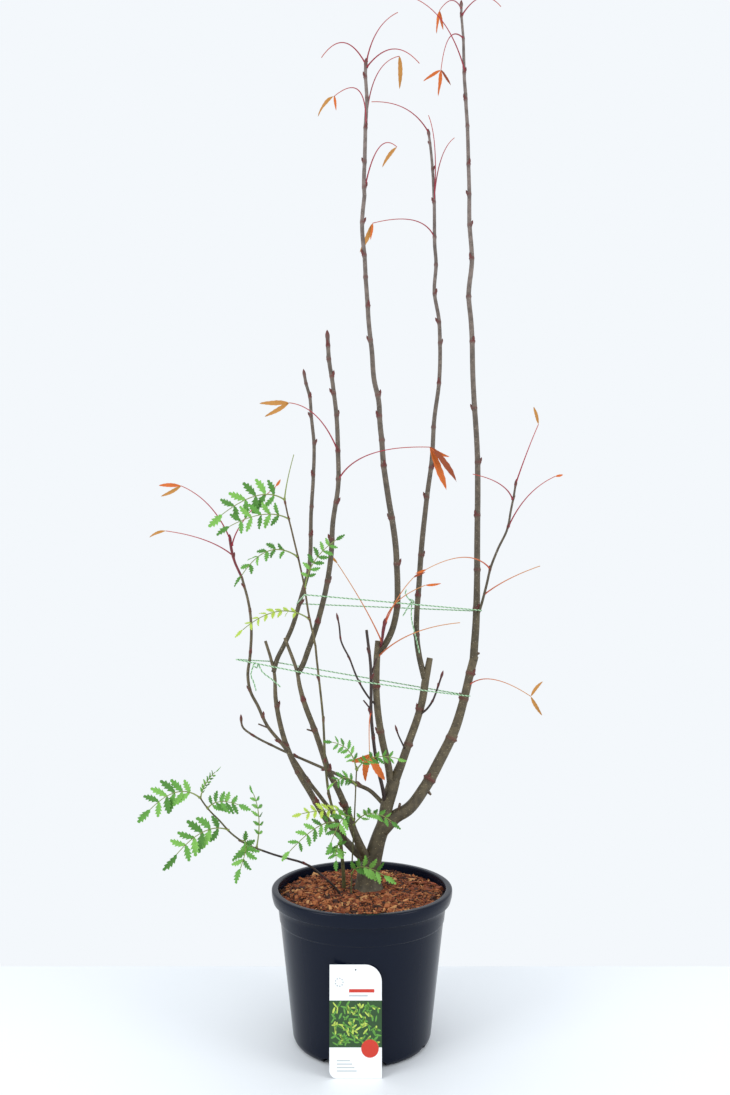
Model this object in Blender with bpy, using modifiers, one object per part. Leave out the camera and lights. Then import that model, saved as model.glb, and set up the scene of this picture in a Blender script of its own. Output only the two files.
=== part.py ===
"""A young rowan with several stems, nearly bare in late autumn, in a black nursery pot.

The pot stands on the floor, on the axis x = 0, y = 0, with its underside at z = 0.
The trunk is cut flat at the level of the soil. It forks low down, its boughs end in old
pruning cuts, and a straight leader grows on from beside each cut. Places on the plant are
in centimetres: x to the right, y to the back, z up from the floor.
"""

import math

import bmesh
import bpy
import numpy as np
from mathutils import Matrix, Vector

CM = 0.01
MM = 0.001
GAP = 0.3 * MM  # air between pieces that touch

# The nursery pot, as radii and heights
POT_HEIGHT = 0.293
RIM_RADIUS = 0.1795
RIM_DEPTH = 0.026
MOUTH_RADIUS = 0.166
WALL_FOOT_RADIUS = 0.1345
WALL_FLARE = 0.118  # how much the wall widens for each metre of height
BAND_HEIGHT = 0.231  # a small step runs round the wall here
BAND_STEP = 1.5 * MM
WALL = 2.5 * MM
FOOT_RADIUS = 0.120
FOOT_ROUND = 0.010
DRAINS = 8
DRAIN_RADIUS = 8 * MM
POT_FACETS = 36

# The growing mix in it
SOIL_TOP = 0.284
SOIL_EDGE = 0.277
SOIL_FLAT_RADIUS = 0.080

# The plain card that leans on the pot
CARD_WIDTH = 0.095
CARD_HEIGHT = 0.199
CARD_THICK = 1.2 * MM
CARD_CENTRE = -0.011
CARD_FOOT = -0.165
CARD_ROUND_TOP = 0.030
CARD_ROUND_FOOT = 0.014
CARD_HOLE = 1.5 * MM

# Growth that all stems share
STEM_FACETS = 8
TWIG_FACETS = 6
STALK_FACETS = 3
RING_SPACING = 0.065
NODE_SWELL = 1.16
NODE_HALF = 5 * MM
BUD = 13 * MM
STALK_RADIUS = 0.9 * MM
LEAF_THICK = 1.1 * MM

# Ties of green twine
TWINE_RADIUS = 1.3 * MM
TIE_SLACK = 0.5 * MM

# Each limb: the places that it passes through in cm, its diameters in mm at even steps from
# foot to tip, its facets, the limbs that it is seated on, the heights of its nodes in cm,
# and how it ends: in a bud or in a flat pruning cut.
LIMBS = {
    "trunk": dict(
        through=[(1.3, 1.0, 28.0), (1.4, 1.0, 31.5), (2.4, 0.9, 35.0), (3.4, 0.8, 38.5), (4.6, 0.6, 41.0)],
        across=(54, 47, 35, 31, 29), facets=10, flare=12, seats=("soil",)),
    "right_bough": dict(
        through=[(4.3, 0.65, 40.5), (6.6, 0.5, 42.7), (9.0, 0.5, 44.1), (12.5, 1.0, 48.3), (15.8, 2.0, 53.7),
                 (18.9, 2.8, 59.7), (20.8, 3.4, 65.7), (22.2, 4.0, 70.7), (23.2, 4.3, 74.6)],
        across=(29, 24.5, 22.5, 20, 17.5, 17), seats=("trunk",), nodes=(58, 66, 71)),
    "right_leader": dict(
        through=[(23.05, 4.26, 74.0), (23.7, 4.6, 82), (23.9, 5.0, 94), (24.2, 5.2, 107), (24.0, 5.0, 119.6),
                 (23.3, 4.8, 132.7), (22.9, 4.6, 145), (22.5, 4.5, 150.3), (23.1, 4.4, 157.4), (22.7, 4.3, 166.4),
                 (22.6, 4.4, 178.3), (22.1, 5.0, 194)],
        across=(17, 13, 12, 11, 10.5, 9.5, 8, 7.5), seats=("right_bough",), nodes=(92.5, 115, 126.5, 140.5, 150, 158, 165.3, 178.5, 187)),
    "middle_bough": dict(
        through=[(3.6, 0.6, 39.2), (4.5, 0.4, 42.5), (5.0, 0.3, 45.2), (6.0, 0.2, 48.6), (6.4, 0.3, 50.0)],
        across=(24, 25, 27, 26), seats=("trunk", "right_bough")),
    "inner_bough": dict(
        through=[(6.2, 0.28, 49.5), (8.3, 0.8, 54), (9.7, 1.2, 57.9), (11.1, 1.6, 61.9), (12.2, 2.0, 65.8),
                 (12.9, 2.4, 69.9), (13.9, 2.8, 74.3)],
        across=(22, 17, 16, 15, 16, 12.5), seats=("middle_bough",)),
    "inner_leader": dict(
        through=[(12.7, 2.4, 70.2), (11.7, 2.7, 74.5), (11.2, 3.0, 78.4), (11.3, 3.4, 83.7), (11.7, 3.8, 88.2),
                 (12.2, 4.5, 95.5), (13.6, 5.5, 107.7), (14.7, 6.0, 116.2), (15.3, 6.5, 124.6), (16.3, 7.0, 132.2),
                 (16.3, 7.3, 146.3), (15.5, 7.6, 152), (15.8, 7.8, 158.4), (15.6, 8.0, 162)],
        across=(12, 11.5, 11, 9.5, 8.5, 8, 7.5), facets=TWIG_FACETS, seats=("inner_bough",),
        nodes=(95.5, 107.7, 122.5, 132, 140.8, 145.5, 151.5, 158)),
    "centre_bough": dict(
        through=[(5.8, 0.1, 49.0), (5.0, -0.5, 53.6), (4.2, -0.8, 56.8), (3.4, -1.0, 61.5), (3.0, -1.2, 66.2),
                 (3.0, -1.4, 71.8), (3.3, -1.5, 78.0)],
        across=(15, 14, 14, 13.5, 13.5), seats=("middle_bough", "inner_bough")),
    "centre_leader": dict(
        through=[(3.4, -1.5, 75.6), (4.6, -1.7, 77.4), (5.8, -1.9, 79.8), (6.7, -2.1, 83.2), (7.1, -2.4, 89.2),
                 (7.0, -2.7, 94.2), (5.3, -3.7, 106.2), (4.4, -4.2, 112.9), (3.7, -4.6, 120.1), (3.4, -4.8, 125.1),
                 (2.4, -5.0, 130), (2.0, -5.2, 136.1), (1.2, -5.5, 143), (0.8, -5.8, 150.5), (0.1, -6.0, 161.2),
                 (0.5, -6.2, 167)],
        across=(13, 12, 12, 11, 10, 9, 8.5, 8), seats=("centre_bough",),
        nodes=(93.3, 102.5, 112.9, 123, 127, 138, 150.5, 155, 161.8)),
    "dark_shoot": dict(
        through=[(4.7, 0.3, 45.0), (4.1, -2.0, 48.9), (3.0, -2.9, 53.6), (2.3, -3.5, 58.2), (1.8, -4.0, 64.1),
                 (1.8, -4.4, 68.5), (1.7, -4.8, 73.4), (0.9, -5.0, 80.3)],
        across=(8, 7, 6.5, 6, 5.5), facets=TWIG_FACETS, seats=("middle_bough", "right_bough", "centre_bough")),
    "dark_twig": dict(
        through=[(3.0, -1.2, 65.0), (1.8, -2.5, 66.4), (0.6, -3.7, 68.2), (-1.0, -5.2, 71.2), (-2.5, -6.6, 74.8),
                 (-3.9, -7.8, 78.1), (-4.3, -8.8, 81.4), (-4.9, -9.4, 83.8)],
        across=(4, 3.6, 3.2), facets=TWIG_FACETS, seats=("centre_bough", "dark_shoot"), end="bud"),
    "low_branch": dict(
        through=[(4.8, 0.4, 44.6), (3.2, 1.2, 46.4), (1.8, 2.2, 47.5), (-1.0, 3.4, 48.6), (-4.5, 5.0, 50.0),
                 (-7.7, 6.4, 51.1), (-13.0, 8.2, 53.1), (-18.4, 9.8, 55.1), (-22.8, 11.0, 57.2),
                 (-25.5, 11.8, 59.2), (-26.0, 12.2, 61.7)],
        across=(9, 7.5, 6, 5, 4.5, 4.2), facets=TWIG_FACETS, seats=("middle_bough", "trunk"), end="bud",
        nodes=(51.1, 53.4, 55.5)),
    "inner_twig": dict(
        through=[(11.6, 1.7, 62.8), (13.1, 0.6, 64.2), (14.1, -0.4, 65.8), (15.2, -1.6, 68.9), (16.2, -2.6, 72.2)],
        across=(4.4, 4, 3.6), facets=TWIG_FACETS, seats=("inner_bough",), end="bud"),
    "inner_spur": dict(
        through=[(8.9, 1.0, 55.6), (8.2, -0.3, 57.2), (7.2, -0.9, 59.4), (6.6, -1.2, 61.3)],
        across=(3.6, 3), facets=TWIG_FACETS, seats=("inner_bough",), end="bud"),
    "front_bough": dict(
        through=[(1.4, 0.7, 33.4), (-0.4, -0.9, 37.2), (-1.6, -1.8, 40.1), (-3.0, -2.8, 44.4), (-4.7, -3.8, 48.9),
                 (-6.5, -4.6, 52.9), (-7.8, -5.3, 56.7), (-9.3, -6.0, 60.9), (-10.9, -6.7, 65.6),
                 (-12.0, -7.3, 69.8), (-12.4, -7.6, 72.2), (-13.2, -7.9, 74.7), (-14.9, -8.4, 78.9)],
        across=(19, 16, 13, 12, 11, 10.5, 7, 6), seats=("trunk",), nodes=(53, 61)),
    "front_leader": dict(
        through=[(-12.4, -7.6, 72.0), (-11.6, -7.9, 73.4), (-10.4, -8.2, 76.6), (-9.1, -8.4, 80.2),
                 (-7.9, -8.7, 84.3), (-6.9, -9.0, 88.5), (-6.0, -9.4, 94.5), (-5.6, -9.8, 101.1),
                 (-4.6, -10.4, 108), (-4.6, -10.8, 115.1), (-4.9, -11.2, 121.6), (-5.5, -11.6, 127),
                 (-6.3, -11.8, 132.2), (-6.7, -12.0, 138.2)],
        across=(10.5, 10.5, 10, 9, 8.5, 8, 7.5), facets=TWIG_FACETS, seats=("front_bough",), end="bud",
        nodes=(90, 98, 109.5, 115, 121.8, 129.2, 132.5)),
    "left_bough": dict(
        through=[(1.2, 1.2, 33.4), (-1.8, 1.8, 36.1), (-3.8, 2.3, 38.0), (-5.7, 2.7, 39.8), (-8.1, 3.4, 43.0),
                 (-10.6, 4.2, 46.8), (-13.2, 4.8, 50.7), (-15.1, 5.5, 54.8), (-16.8, 6.2, 59.6), (-18.1, 6.9, 65.3),
                 (-18.6, 7.6, 71.2), (-19.2, 7.8, 73.5), (-20.4, 8.2, 77.5)],
        across=(18, 15, 13, 12, 11, 10, 7, 6), seats=("trunk", "front_bough"), nodes=(56, 64)),
    "left_leader": dict(
        through=[(-18.6, 7.6, 71.0), (-17.8, 7.9, 73.6), (-16.2, 8.1, 76.9), (-14.7, 8.4, 80.3), (-13.5, 8.7, 84.2),
                 (-12.6, 9.0, 87.8), (-11.5, 9.4, 92.5), (-10.9, 9.8, 98.9), (-11.0, 10.2, 105.4), (-10.4, 10.6, 113),
                 (-10.7, 11.0, 122.8), (-11.2, 11.2, 128.3), (-12.8, 11.6, 136.3)],
        across=(10, 9.5, 9, 8, 7.5, 7, 6.5), facets=TWIG_FACETS, seats=("left_bough",), end="bud",
        nodes=(85.5, 106, 113, 120, 126, 130)),
    "far_left_stem": dict(
        through=[(-3.0, 2.1, 37.2), (-4.2, 1.3, 39.9), (-5.8, 0.7, 43.3), (-8.0, 0.1, 46.4), (-11.0, -0.5, 50.4),
                 (-13.6, -0.9, 54.3), (-16.2, -1.3, 57.7), (-18.7, -1.8, 60.9), (-20.7, -2.2, 65.1),
                 (-22.3, -2.6, 68.3), (-22.7, -2.8, 71.1), (-22.2, -3.0, 75.3), (-22.0, -3.2, 80.2),
                 (-22.7, -3.4, 86.2), (-23.9, -3.6, 90.6)],
        across=(9.5, 8, 7.5, 6.5, 6, 5.5, 5), facets=TWIG_FACETS, seats=("left_bough",),
        nodes=(58, 68.5, 84, 89)),
    "olive_stem": dict(
        through=[(-3.6, 0.8, 27.8), (-4.0, -0.6, 34.5), (-4.5, -2.0, 39.7), (-5.6, -3.4, 44.2), (-6.5, -4.7, 48.2),
                 (-7.0, -6.4, 54.1), (-7.4, -7.6, 61), (-7.8, -8.4, 66.8), (-8.3, -9.2, 72.3), (-8.9, -9.9, 77.5)],
        across=(8, 6, 5, 4.4, 4.2), facets=TWIG_FACETS, seats=("soil",)),
    "rim_stem": dict(
        through=[(-3.9, -1.8, 27.8), (-6.2, -2.9, 30.6), (-8.1, -3.7, 32.5), (-9.7, -4.3, 34.1), (-12.0, -5.2, 35.4),
                 (-14.2, -6.0, 36.2), (-16.7, -6.8, 37.1), (-19.1, -7.6, 38.2)],
        across=(4.6, 4.2, 3.8), facets=TWIG_FACETS, seats=("soil",)),
}

# Short spurs and knobs fused to a limb: where they leave it, how far they reach in cm, and
# their diameters in mm at the foot and at the tip.
SPURS = {
    "right_bough": [((7.0, 0.5, 43.0), (0.6, -1.2, 2.6), 6, 5), ((13.0, 1.0, 48.0), (0.9, -0.3, -1.0), 9, 4)],
    "right_leader": [((23.3, 4.3, 75.0), (0.9, -0.4, 0.2), 9, 4)],
    "dark_shoot": [((1.8, -4.6, 71.5), (1.1, 0.4, 3.2), 4.2, 3), ((1.8, -4.0, 64.6), (-1.5, -0.6, 1.9), 3.4, 3)],
    "low_branch": [((-19.0, 10.0, 55.3), (-0.8, -1.4, 0.6), 3.4, 3)],
    "front_bough": [((-9.2, -6.0, 60.6), (-1.5, -0.5, 0.5), 4, 3)],
    "far_left_stem": [((-18.4, -1.7, 60.6), (-2.2, -0.7, 1.0), 3.6, 3)],
}

# Masses. Each grows from one stem: "stem" as for a limb, or the first stalk where that is
# None. A stalk leaves its place with the first vector and ends at the second, in cm. It is
# bare, or carries dried leaflets, given by where their tips lie from its end, or the pairs
# of green leaflets of a compound leaf with the length of one and the side that it faces.
MASSES = {
    "right_tip": dict(
        seats=("right_leader",),
        stem=dict(through=[(22.08, 5.0, 194.06), (21.8, 5.0, 201), (21.5, 5.2, 209), (21.3, 5.3, 215)],
                  across=(7.5, 6.5, 5.5, 5), end="bud", nodes=(198.9, 206.4)),
        stalks=[
            dict(at=(22.0, 4.9, 198.9), lead=(-3.7, -3.0, 11.3), end=(-11.5, -5.2, 13.0)),
            dict(at=(21.6, 5.0, 206.4), lead=(-3.7, -2.0, 2.3), end=(-5.0, -3.0, -8.8),
                 dried=[(-3.6, 0.2, -1.8), (-1.1, -0.8, -4.8), (2.3, 0.3, -2.6)]),
            dict(at=(21.4, 5.2, 211.5), lead=(4.5, 1.5, 8.0), end=(9.0, 4.0, 4.5)),
            dict(at=(21.3, 5.2, 213.0), lead=(-1.5, 4.0, 6.5), end=(-4.0, 8.5, 5.0),
                 dried=[(-1.2, 1.0, -4.0), (0.9, 1.6, -3.4)]),
        ]),
    "centre_tip": dict(
        seats=("centre_leader",),
        stem=dict(through=[(0.5, -6.2, 167.06), (0.4, -6.4, 173.1), (0.8, -6.6, 180.8), (0.8, -7.0, 195)],
                  across=(8, 7.5, 7, 6.5), end="bud", nodes=(168.8, 180.8, 187)),
        stalks=[
            dict(at=(0.8, -7.0, 193.6), lead=(-4.3, -1.5, 7.4), end=(-8.8, -3.0, -0.3)),
            dict(at=(0.9, -7.0, 194.2), lead=(1.5, 1.0, 8.5), end=(6.4, 2.5, 11.8)),
            dict(at=(0.9, -7.0, 193.0), lead=(5.3, -1.0, 6.6), end=(10.5, -2.0, -0.3)),
            dict(at=(0.8, -6.6, 180.8), lead=(0.6, 0.6, 13.9), end=(6.8, 2.6, 16.3), dried=[(0.2, 0.3, -5.8)]),
            dict(at=(0.8, -6.7, 180.6), lead=(0.3, -2.9, 10.6), end=(-6.2, -4.2, 4.4),
                 dried=[(-3.5, -0.4, -3.1), (0.2, -0.6, -2.6)]),
            dict(at=(0.6, -6.2, 168.8), lead=(2.4, -1.3, 11.4), end=(6.3, -2.8, 6.9), dried=[(-2.9, 0.4, -3.4)]),
        ]),
    "inner_tip": dict(
        seats=("inner_leader",),
        stem=dict(through=[(15.6, 8.0, 162.06), (15.5, 8.2, 171.9), (15.2, 8.4, 179.9), (14.3, 8.8, 188.4)],
                  across=(7.5, 7, 6, 5), end="bud", nodes=(164, 172, 185)),
        stalks=[
            dict(at=(14.4, 8.8, 187.6), lead=(-4.0, -1.8, 6.2), end=(-12.4, -4.3, 4.5)),
            dict(at=(15.5, 8.2, 172.0), lead=(0.9, -1.6, 12.8), end=(-1.2, -0.9, 18.6)),
            dict(at=(15.5, 8.3, 172.0), lead=(0.9, 1.0, 11.9), end=(4.8, 3.4, 15.8)),
            dict(at=(15.6, 8.0, 163.9), lead=(-2.5, -1.5, 5.5), end=(-13.4, -5.4, 1.1),
                 dried=[(-2.5, -0.2, -5.6), (-0.5, -0.8, -3.2)]),
        ]),
    "side_twig": dict(
        seats=("right_leader",),
        stem=dict(through=[(23.7, 4.6, 82.0), (24.8, 3.0, 86.4), (25.5, 2.0, 89.6), (26.1, 1.2, 92.5),
                           (27.5, 0.0, 96.3), (29.5, -1.6, 100.9), (29.9, -2.2, 103.9), (30.9, -3.6, 110.4)],
                  across=(5.6, 5, 4.4, 4), end="bud", nodes=(92.5, 101, 106.5)),
        stalks=[
            dict(at=(25.0, 2.7, 87.2), lead=(4.0, -2.2, 3.4), end=(10.7, -5.0, 5.8)),
            dict(at=(26.1, 1.2, 92.6), lead=(-4.4, -3.2, 4.5), end=(-13.5, -7.2, -0.4), dried=[(-1.9, -0.4, -0.9)]),
            dict(at=(29.5, -1.6, 100.9), lead=(3.7, 1.6, 7.7), end=(10.3, 3.6, 10.7), dried=[(1.8, 0.1, 0.4)]),
            dict(at=(30.2, -2.8, 106.4), lead=(-1.6, -2.2, 3.4), end=(-8.4, -4.2, 4.5)),
            dict(at=(30.7, -3.4, 109.2), lead=(2.1, -1.4, 6.6), end=(4.3, -2.4, 11.8), dried=[(-1.1, 0.3, 3.8)]),
        ]),
    "low_right_leaf": dict(
        seats=("right_bough",), stem=None,
        stalks=[dict(at=(21.3, 3.7, 68.0), lead=(3.6, -2.6, 4.8), end=(12.2, -6.7, -0.9),
                     dried=[(2.5, 0.3, 3.1), (2.0, -0.3, -4.0)])]),
    "front_low_leaf": dict(
        seats=("front_leader",), stem=None,
        stalks=[dict(at=(-4.6, -10.4, 109.2), lead=(3.5, -3.6, 6.4), end=(17.3, -6.4, 5.5),
                     dried=[(3.7, 0.2, -1.9), (5.6, -0.3, -5.6), (4.0, 0.9, -7.6)])]),
    "front_high_leaf": dict(
        seats=("front_leader",), stem=None,
        stalks=[dict(at=(-4.6, -10.8, 114.8), lead=(-3.4, -2.2, 8.4), end=(-9.1, -4.2, 8.6),
                     dried=[(-5.9, 0.2, 0.4), (-4.6, -0.4, -2.4)])]),
    "far_left_tip": dict(
        seats=("far_left_stem",),
        stem=dict(through=[(-23.92, -3.6, 90.66), (-25.4, -4.0, 94.5), (-25.9, -4.2, 96.7), (-26.3, -4.4, 99.3)],
                  across=(5, 4.8, 5.6, 5.5), end="bud"),
        stalks=[
            dict(at=(-26.1, -4.4, 98.0), lead=(-3.2, -0.6, 8.0), end=(-9.6, -1.6, 10.7),
                 dried=[(-5.0, 0.4, 0.2), (-3.9, -0.6, -2.1)]),
            dict(at=(-25.4, -4.0, 94.8), lead=(-4.8, 2.0, 4.0), end=(-14.5, 4.0, 5.4), dried=[(-3.5, -0.2, -1.1)]),
            dict(at=(-25.8, -4.4, 97.0), lead=(1.2, -1.8, 5.0), end=(9.0, -3.6, 11.4), dried=[(0.9, -0.2, 1.3)]),
        ]),
    "fork_leaves": dict(
        seats=("centre_leader", "centre_bough"),
        stem=dict(through=[(3.6, -1.7, 76.6), (4.0, -2.9, 78.2), (4.2, -3.2, 80.0), (4.8, -3.4, 82.8)],
                  across=(4.5, 5, 7, 5), end="bud"),
        stalks=[
            dict(at=(4.6, -3.4, 81.6), lead=(0.6, -1.0, 4.6), end=(7.8, -3.0, 7.5), dried=[(3.1, -0.3, 0.3)]),
            dict(at=(4.3, -3.3, 80.6), lead=(2.3, -1.6, 6.4), end=(5.8, -3.0, 10.0), dried=[(2.4, 0.3, 1.3)]),
            dict(at=(3.9, -2.8, 78.0), lead=(-3.0, -2.2, 6.8), end=(-8.6, -5.2, 15.2), dried=[(-2.0, 0.3, 2.7)]),
        ]),
    "fork_low_leaf": dict(
        seats=("centre_bough", "centre_leader"), stem=None,
        stalks=[dict(at=(3.2, -1.6, 74.8), lead=(5.4, -4.2, 6.0), end=(15.9, -5.6, 7.0))]),
    "orange_leaf": dict(
        seats=("dark_shoot",), stem=None,
        stalks=[dict(at=(1.8, -4.0, 64.0), lead=(-0.6, -1.6, -1.0), end=(-0.3, -1.4, -7.9),
                     dried=[(-3.8, 0.6, -1.9), (-1.3, -0.2, -5.3), (3.4, 0.3, -5.3)], broad=1.5)]),
    "olive_leaves": dict(
        seats=("olive_stem",),
        stem=dict(through=[(-8.91, -9.91, 77.56), (-10.1, -10.1, 82.6), (-11.0, -10.6, 89.1), (-12.3, -11.2, 94.5),
                           (-13.7, -12.1, 101.1), (-14.8, -12.7, 105.8)],
                  across=(4.2, 3.8, 3.4, 3), end="bud"),
        stalks=[
            dict(at=(-14.6, -12.6, 105.2), lead=(-4.2, -1.5, 3.0), end=(-11.4, -3.5, -3.0), pairs=5, blade=3.8),
            dict(at=(-13.8, -12.1, 101.6), lead=(-4.0, -3.2, 2.2), end=(-10.5, -6.2, -1.8), pairs=5, blade=3.3),
            dict(at=(-12.3, -11.2, 94.5), lead=(-5.6, -1.2, 3.9), end=(-10.2, -3.2, -3.6), pairs=5, blade=2.8, roll=50),
            dict(at=(-10.1, -10.1, 82.6), lead=(-5.5, -1.8, 3.9), end=(-12.2, -3.8, -1.9), pairs=5, blade=2.0, roll=55),
            dict(at=(-10.9, -10.5, 88.4), lead=(0.7, -2.8, 5.5), end=(6.0, -4.8, 9.0), pairs=5, blade=2.3, roll=25),
            dict(at=(-14.7, -12.7, 105.4), lead=(0.3, 0.4, 3.5), end=(1.7, 0.5, 8.6)),
        ]),
    "green_shoot": dict(
        seats=("soil", "trunk"),
        stem=dict(through=[(-2.15, -2.25, 27.8), (-1.9, -2.9, 35.2), (-1.6, -3.9, 41.5), (-1.3, -5.1, 47.4),
                           (-1.0, -6.3, 54.0)],
                  across=(3.2, 3, 2.8, 2.6)),
        stalks=[
            dict(at=(-1.1, -6.2, 53.4), lead=(-0.6, -1.0, 4.6), end=(-4.6, -2.6, 5.6), pairs=4, blade=1.9, roll=35),
            dict(at=(-1.0, -6.2, 53.2), lead=(2.0, -3.4, 4.2), end=(7.6, -5.4, 3.2), pairs=5, blade=1.9, roll=30),
            dict(at=(-1.2, -5.7, 50.2), lead=(-1.6, -1.4, 2.9), end=(-4.2, -2.8, 1.0), pairs=3, blade=1.8, roll=40),
            dict(at=(-1.6, -4.3, 43.2), lead=(-1.6, -2.6, 3.6), end=(-4.2, -5.4, -2.8), pairs=4, blade=2.7, roll=20),
            dict(at=(-1.6, -4.0, 42.2), lead=(2.8, -2.2, 4.6), end=(7.2, -4.6, 1.8), pairs=5, blade=2.2, roll=35),
            dict(at=(-2.0, -2.6, 32.4), lead=(1.2, -3.0, 3.6), end=(6.2, -5.4, 1.2), pairs=4, blade=2.8, roll=15),
        ]),
    "low_left_leaves": dict(
        seats=("front_bough",), stem=None,
        stalks=[
            dict(at=(-3.0, -2.8, 44.4), lead=(-2.8, -5.4, 2.2), end=(-8.4, -7.6, 1.4), pairs=4, blade=1.9, roll=50),
        ]),
    "low_front_leaf": dict(
        seats=("olive_stem",), stem=None,
        stalks=[
            dict(at=(-4.3, -1.4, 37.4), lead=(-0.8, -4.0, 2.2), end=(-0.6, -7.8, -0.6), pairs=4, blade=2.2, roll=15),
        ]),
    "low_green_leaf": dict(
        seats=("olive_stem",), stem=None,
        stalks=[
            dict(at=(-5.2, -2.9, 42.4), lead=(-3.0, -3.0, 1.4), end=(-8.6, -5.2, -4.2), pairs=4, blade=2.4, roll=10),
        ]),
    "rim_leaves": dict(
        seats=("rim_stem",),
        stem=dict(through=[(-19.16, -7.63, 38.22), (-21.9, -8.2, 39.4), (-24.5, -8.8, 41.4), (-26.9, -9.4, 44.1),
                           (-29.5, -10.0, 46.9), (-30.8, -10.4, 49.0)],
                  across=(3.8, 3.4, 3)),
        stalks=[
            dict(at=(-30.7, -10.4, 48.8), lead=(-4.0, -0.6, 3.3), end=(-9.0, -1.6, -1.8), pairs=4, blade=3.6),
            dict(at=(-30.6, -10.3, 48.6), lead=(0.2, 0.9, 2.6), end=(2.4, 2.2, 4.6), pairs=5, blade=1.5, roll=60),
            dict(at=(-29.3, -10.0, 46.7), lead=(1.9, -2.0, 2.6), end=(6.4, -4.0, 1.6), pairs=4, blade=2.7, roll=15),
            dict(at=(-25.4, -9.0, 42.4), lead=(-3.9, -3.0, 2.5), end=(-8.6, -6.4, -2.8), pairs=4, blade=3.8),
            dict(at=(-23.0, -8.4, 40.2), lead=(2.2, -2.4, 1.4), end=(0.6, -6.0, -3.4), pairs=4, blade=3.0, roll=20),
            dict(at=(-20.2, -7.8, 38.8), lead=(1.0, 1.6, 5.6), end=(-1.0, 2.9, 9.6), pairs=4, blade=1.9, roll=60),
        ]),
}

# Ties: the plane of each is its height in cm on the axis and its slope to the right and back
TIES = {
    "lower_tie": dict(height=70.2, slope_x=-0.165, slope_y=-0.02, wide=2.2),
    "upper_tie": dict(height=85.6, slope_x=-0.05, slope_y=-0.10, wide=0.0),
}
UPPER_TIE_HOLDS = ("right_leader", "side_twig", "inner_leader", "centre_leader", "front_leader", "left_leader", "olive_leaves")
LOWER_TIE_HOLDS = ("right_bough", "inner_bough", "centre_bough", "dark_shoot", "front_bough", "left_bough",
                   "front_leader", "left_leader", "far_left_stem", "olive_stem", "dark_twig", "inner_twig")


def clear_scene():
    for thing in list(bpy.data.objects):
        bpy.data.objects.remove(thing)


def new_collection(name, hidden=False):
    made = bpy.data.collections.new(name)
    bpy.context.scene.collection.children.link(made)
    made.hide_render = hidden
    return made


def material(name, colour, roughness, metallic=0.0):
    made = bpy.data.materials.new(name)
    made.use_nodes = True
    shader = made.node_tree.nodes["Principled BSDF"]
    shader.inputs["Base Color"].default_value = (*colour, 1)
    shader.inputs["Roughness"].default_value = roughness
    shader.inputs["Metallic"].default_value = metallic
    return made


def smooth_path(places, along=None, spacing=RING_SPACING, extra=()):
    """Points of a smooth curve through the places, in metres, and how far along each one is."""
    places = np.array(places, float)
    reach = np.concatenate([[0], np.cumsum(np.linalg.norm(np.diff(places, axis=0), axis=1))])
    tangents = np.gradient(places, reach, axis=0)
    if along is None:
        count = max(2, int(round(reach[-1] / spacing)) + 1)
        along = np.unique(np.concatenate([np.linspace(0, reach[-1], count), np.array(extra, float)]))
    along = np.clip(along, 0, reach[-1])
    k = np.clip(np.searchsorted(reach, along, side="right") - 1, 0, len(reach) - 2)
    h = (reach[k + 1] - reach[k])[:, None]
    u = (along - reach[k])[:, None] / h
    points = (
        (2 * u**3 - 3 * u**2 + 1) * places[k]
        + (u**3 - 2 * u**2 + u) * h * tangents[k]
        + (3 * u**2 - 2 * u**3) * places[k + 1]
        + (u**3 - u**2) * h * tangents[k + 1]
    )
    return points, along


def arc(at, lead, end, count):
    """A stalk's line: it leaves its place towards the lead and bends over to its end."""
    t = np.linspace(0, 1, count)[:, None]
    return at + 2 * t * (1 - t) * lead + t * t * end


def limb_line(spec, fat=0.0):
    """The points and radii of a limb's rings: an even taper, swollen at its nodes."""
    places = np.array(spec["through"]) * CM
    fine, along = smooth_path(places, spacing=2 * MM)
    length = along[-1]
    rings = [along[np.argmin(np.abs(fine[:, 2] - z * CM))] for z in spec.get("nodes", ())]
    extra = [s + d for s in rings for d in (-NODE_HALF, 0, NODE_HALF)]
    ends_in_bud = spec.get("end") == "bud"
    if ends_in_bud:
        extra += [length - BUD, length - 0.65 * BUD, length - 0.3 * BUD]
    if "flare" in spec:
        extra += [6 * MM, 14 * MM]
    points, along = smooth_path(places, extra=[s for s in extra if 0 < s < length])
    across = np.array(spec["across"]) * MM
    radii = np.interp(along / length, np.linspace(0, 1, len(across)), across) / 2
    for s in rings:
        radii[np.abs(along - s) < 0.5 * MM] *= NODE_SWELL
    if ends_in_bud:
        bud = along > length - BUD + 0.5 * MM
        share = (length - along[bud]) / BUD
        radii[bud] *= 0.22 + 1.9 * share - 0.75 * share**2
    if "flare" in spec:
        radii += spec["flare"] * MM * np.exp(-along / (9 * MM))
    return points, radii + fat


def ring_profile(facets, guides):
    """A polygon of radius 1 that a tube carries along its line."""
    name = f"ring_{facets}"
    if name in bpy.data.objects:
        return bpy.data.objects[name]
    data = bpy.data.curves.new(name, "CURVE")
    data.dimensions = "2D"
    spline = data.splines.new("POLY")
    spline.points.add(facets - 1)
    for k, point in enumerate(spline.points):
        turn = 2 * math.pi * k / facets
        point.co = (math.cos(turn), math.sin(turn), 0, 1)
    spline.use_cyclic_u = True
    ring = bpy.data.objects.new(name, data)
    ring.hide_render = True
    ring.display_type = "WIRE"
    guides.objects.link(ring)
    return ring


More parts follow.
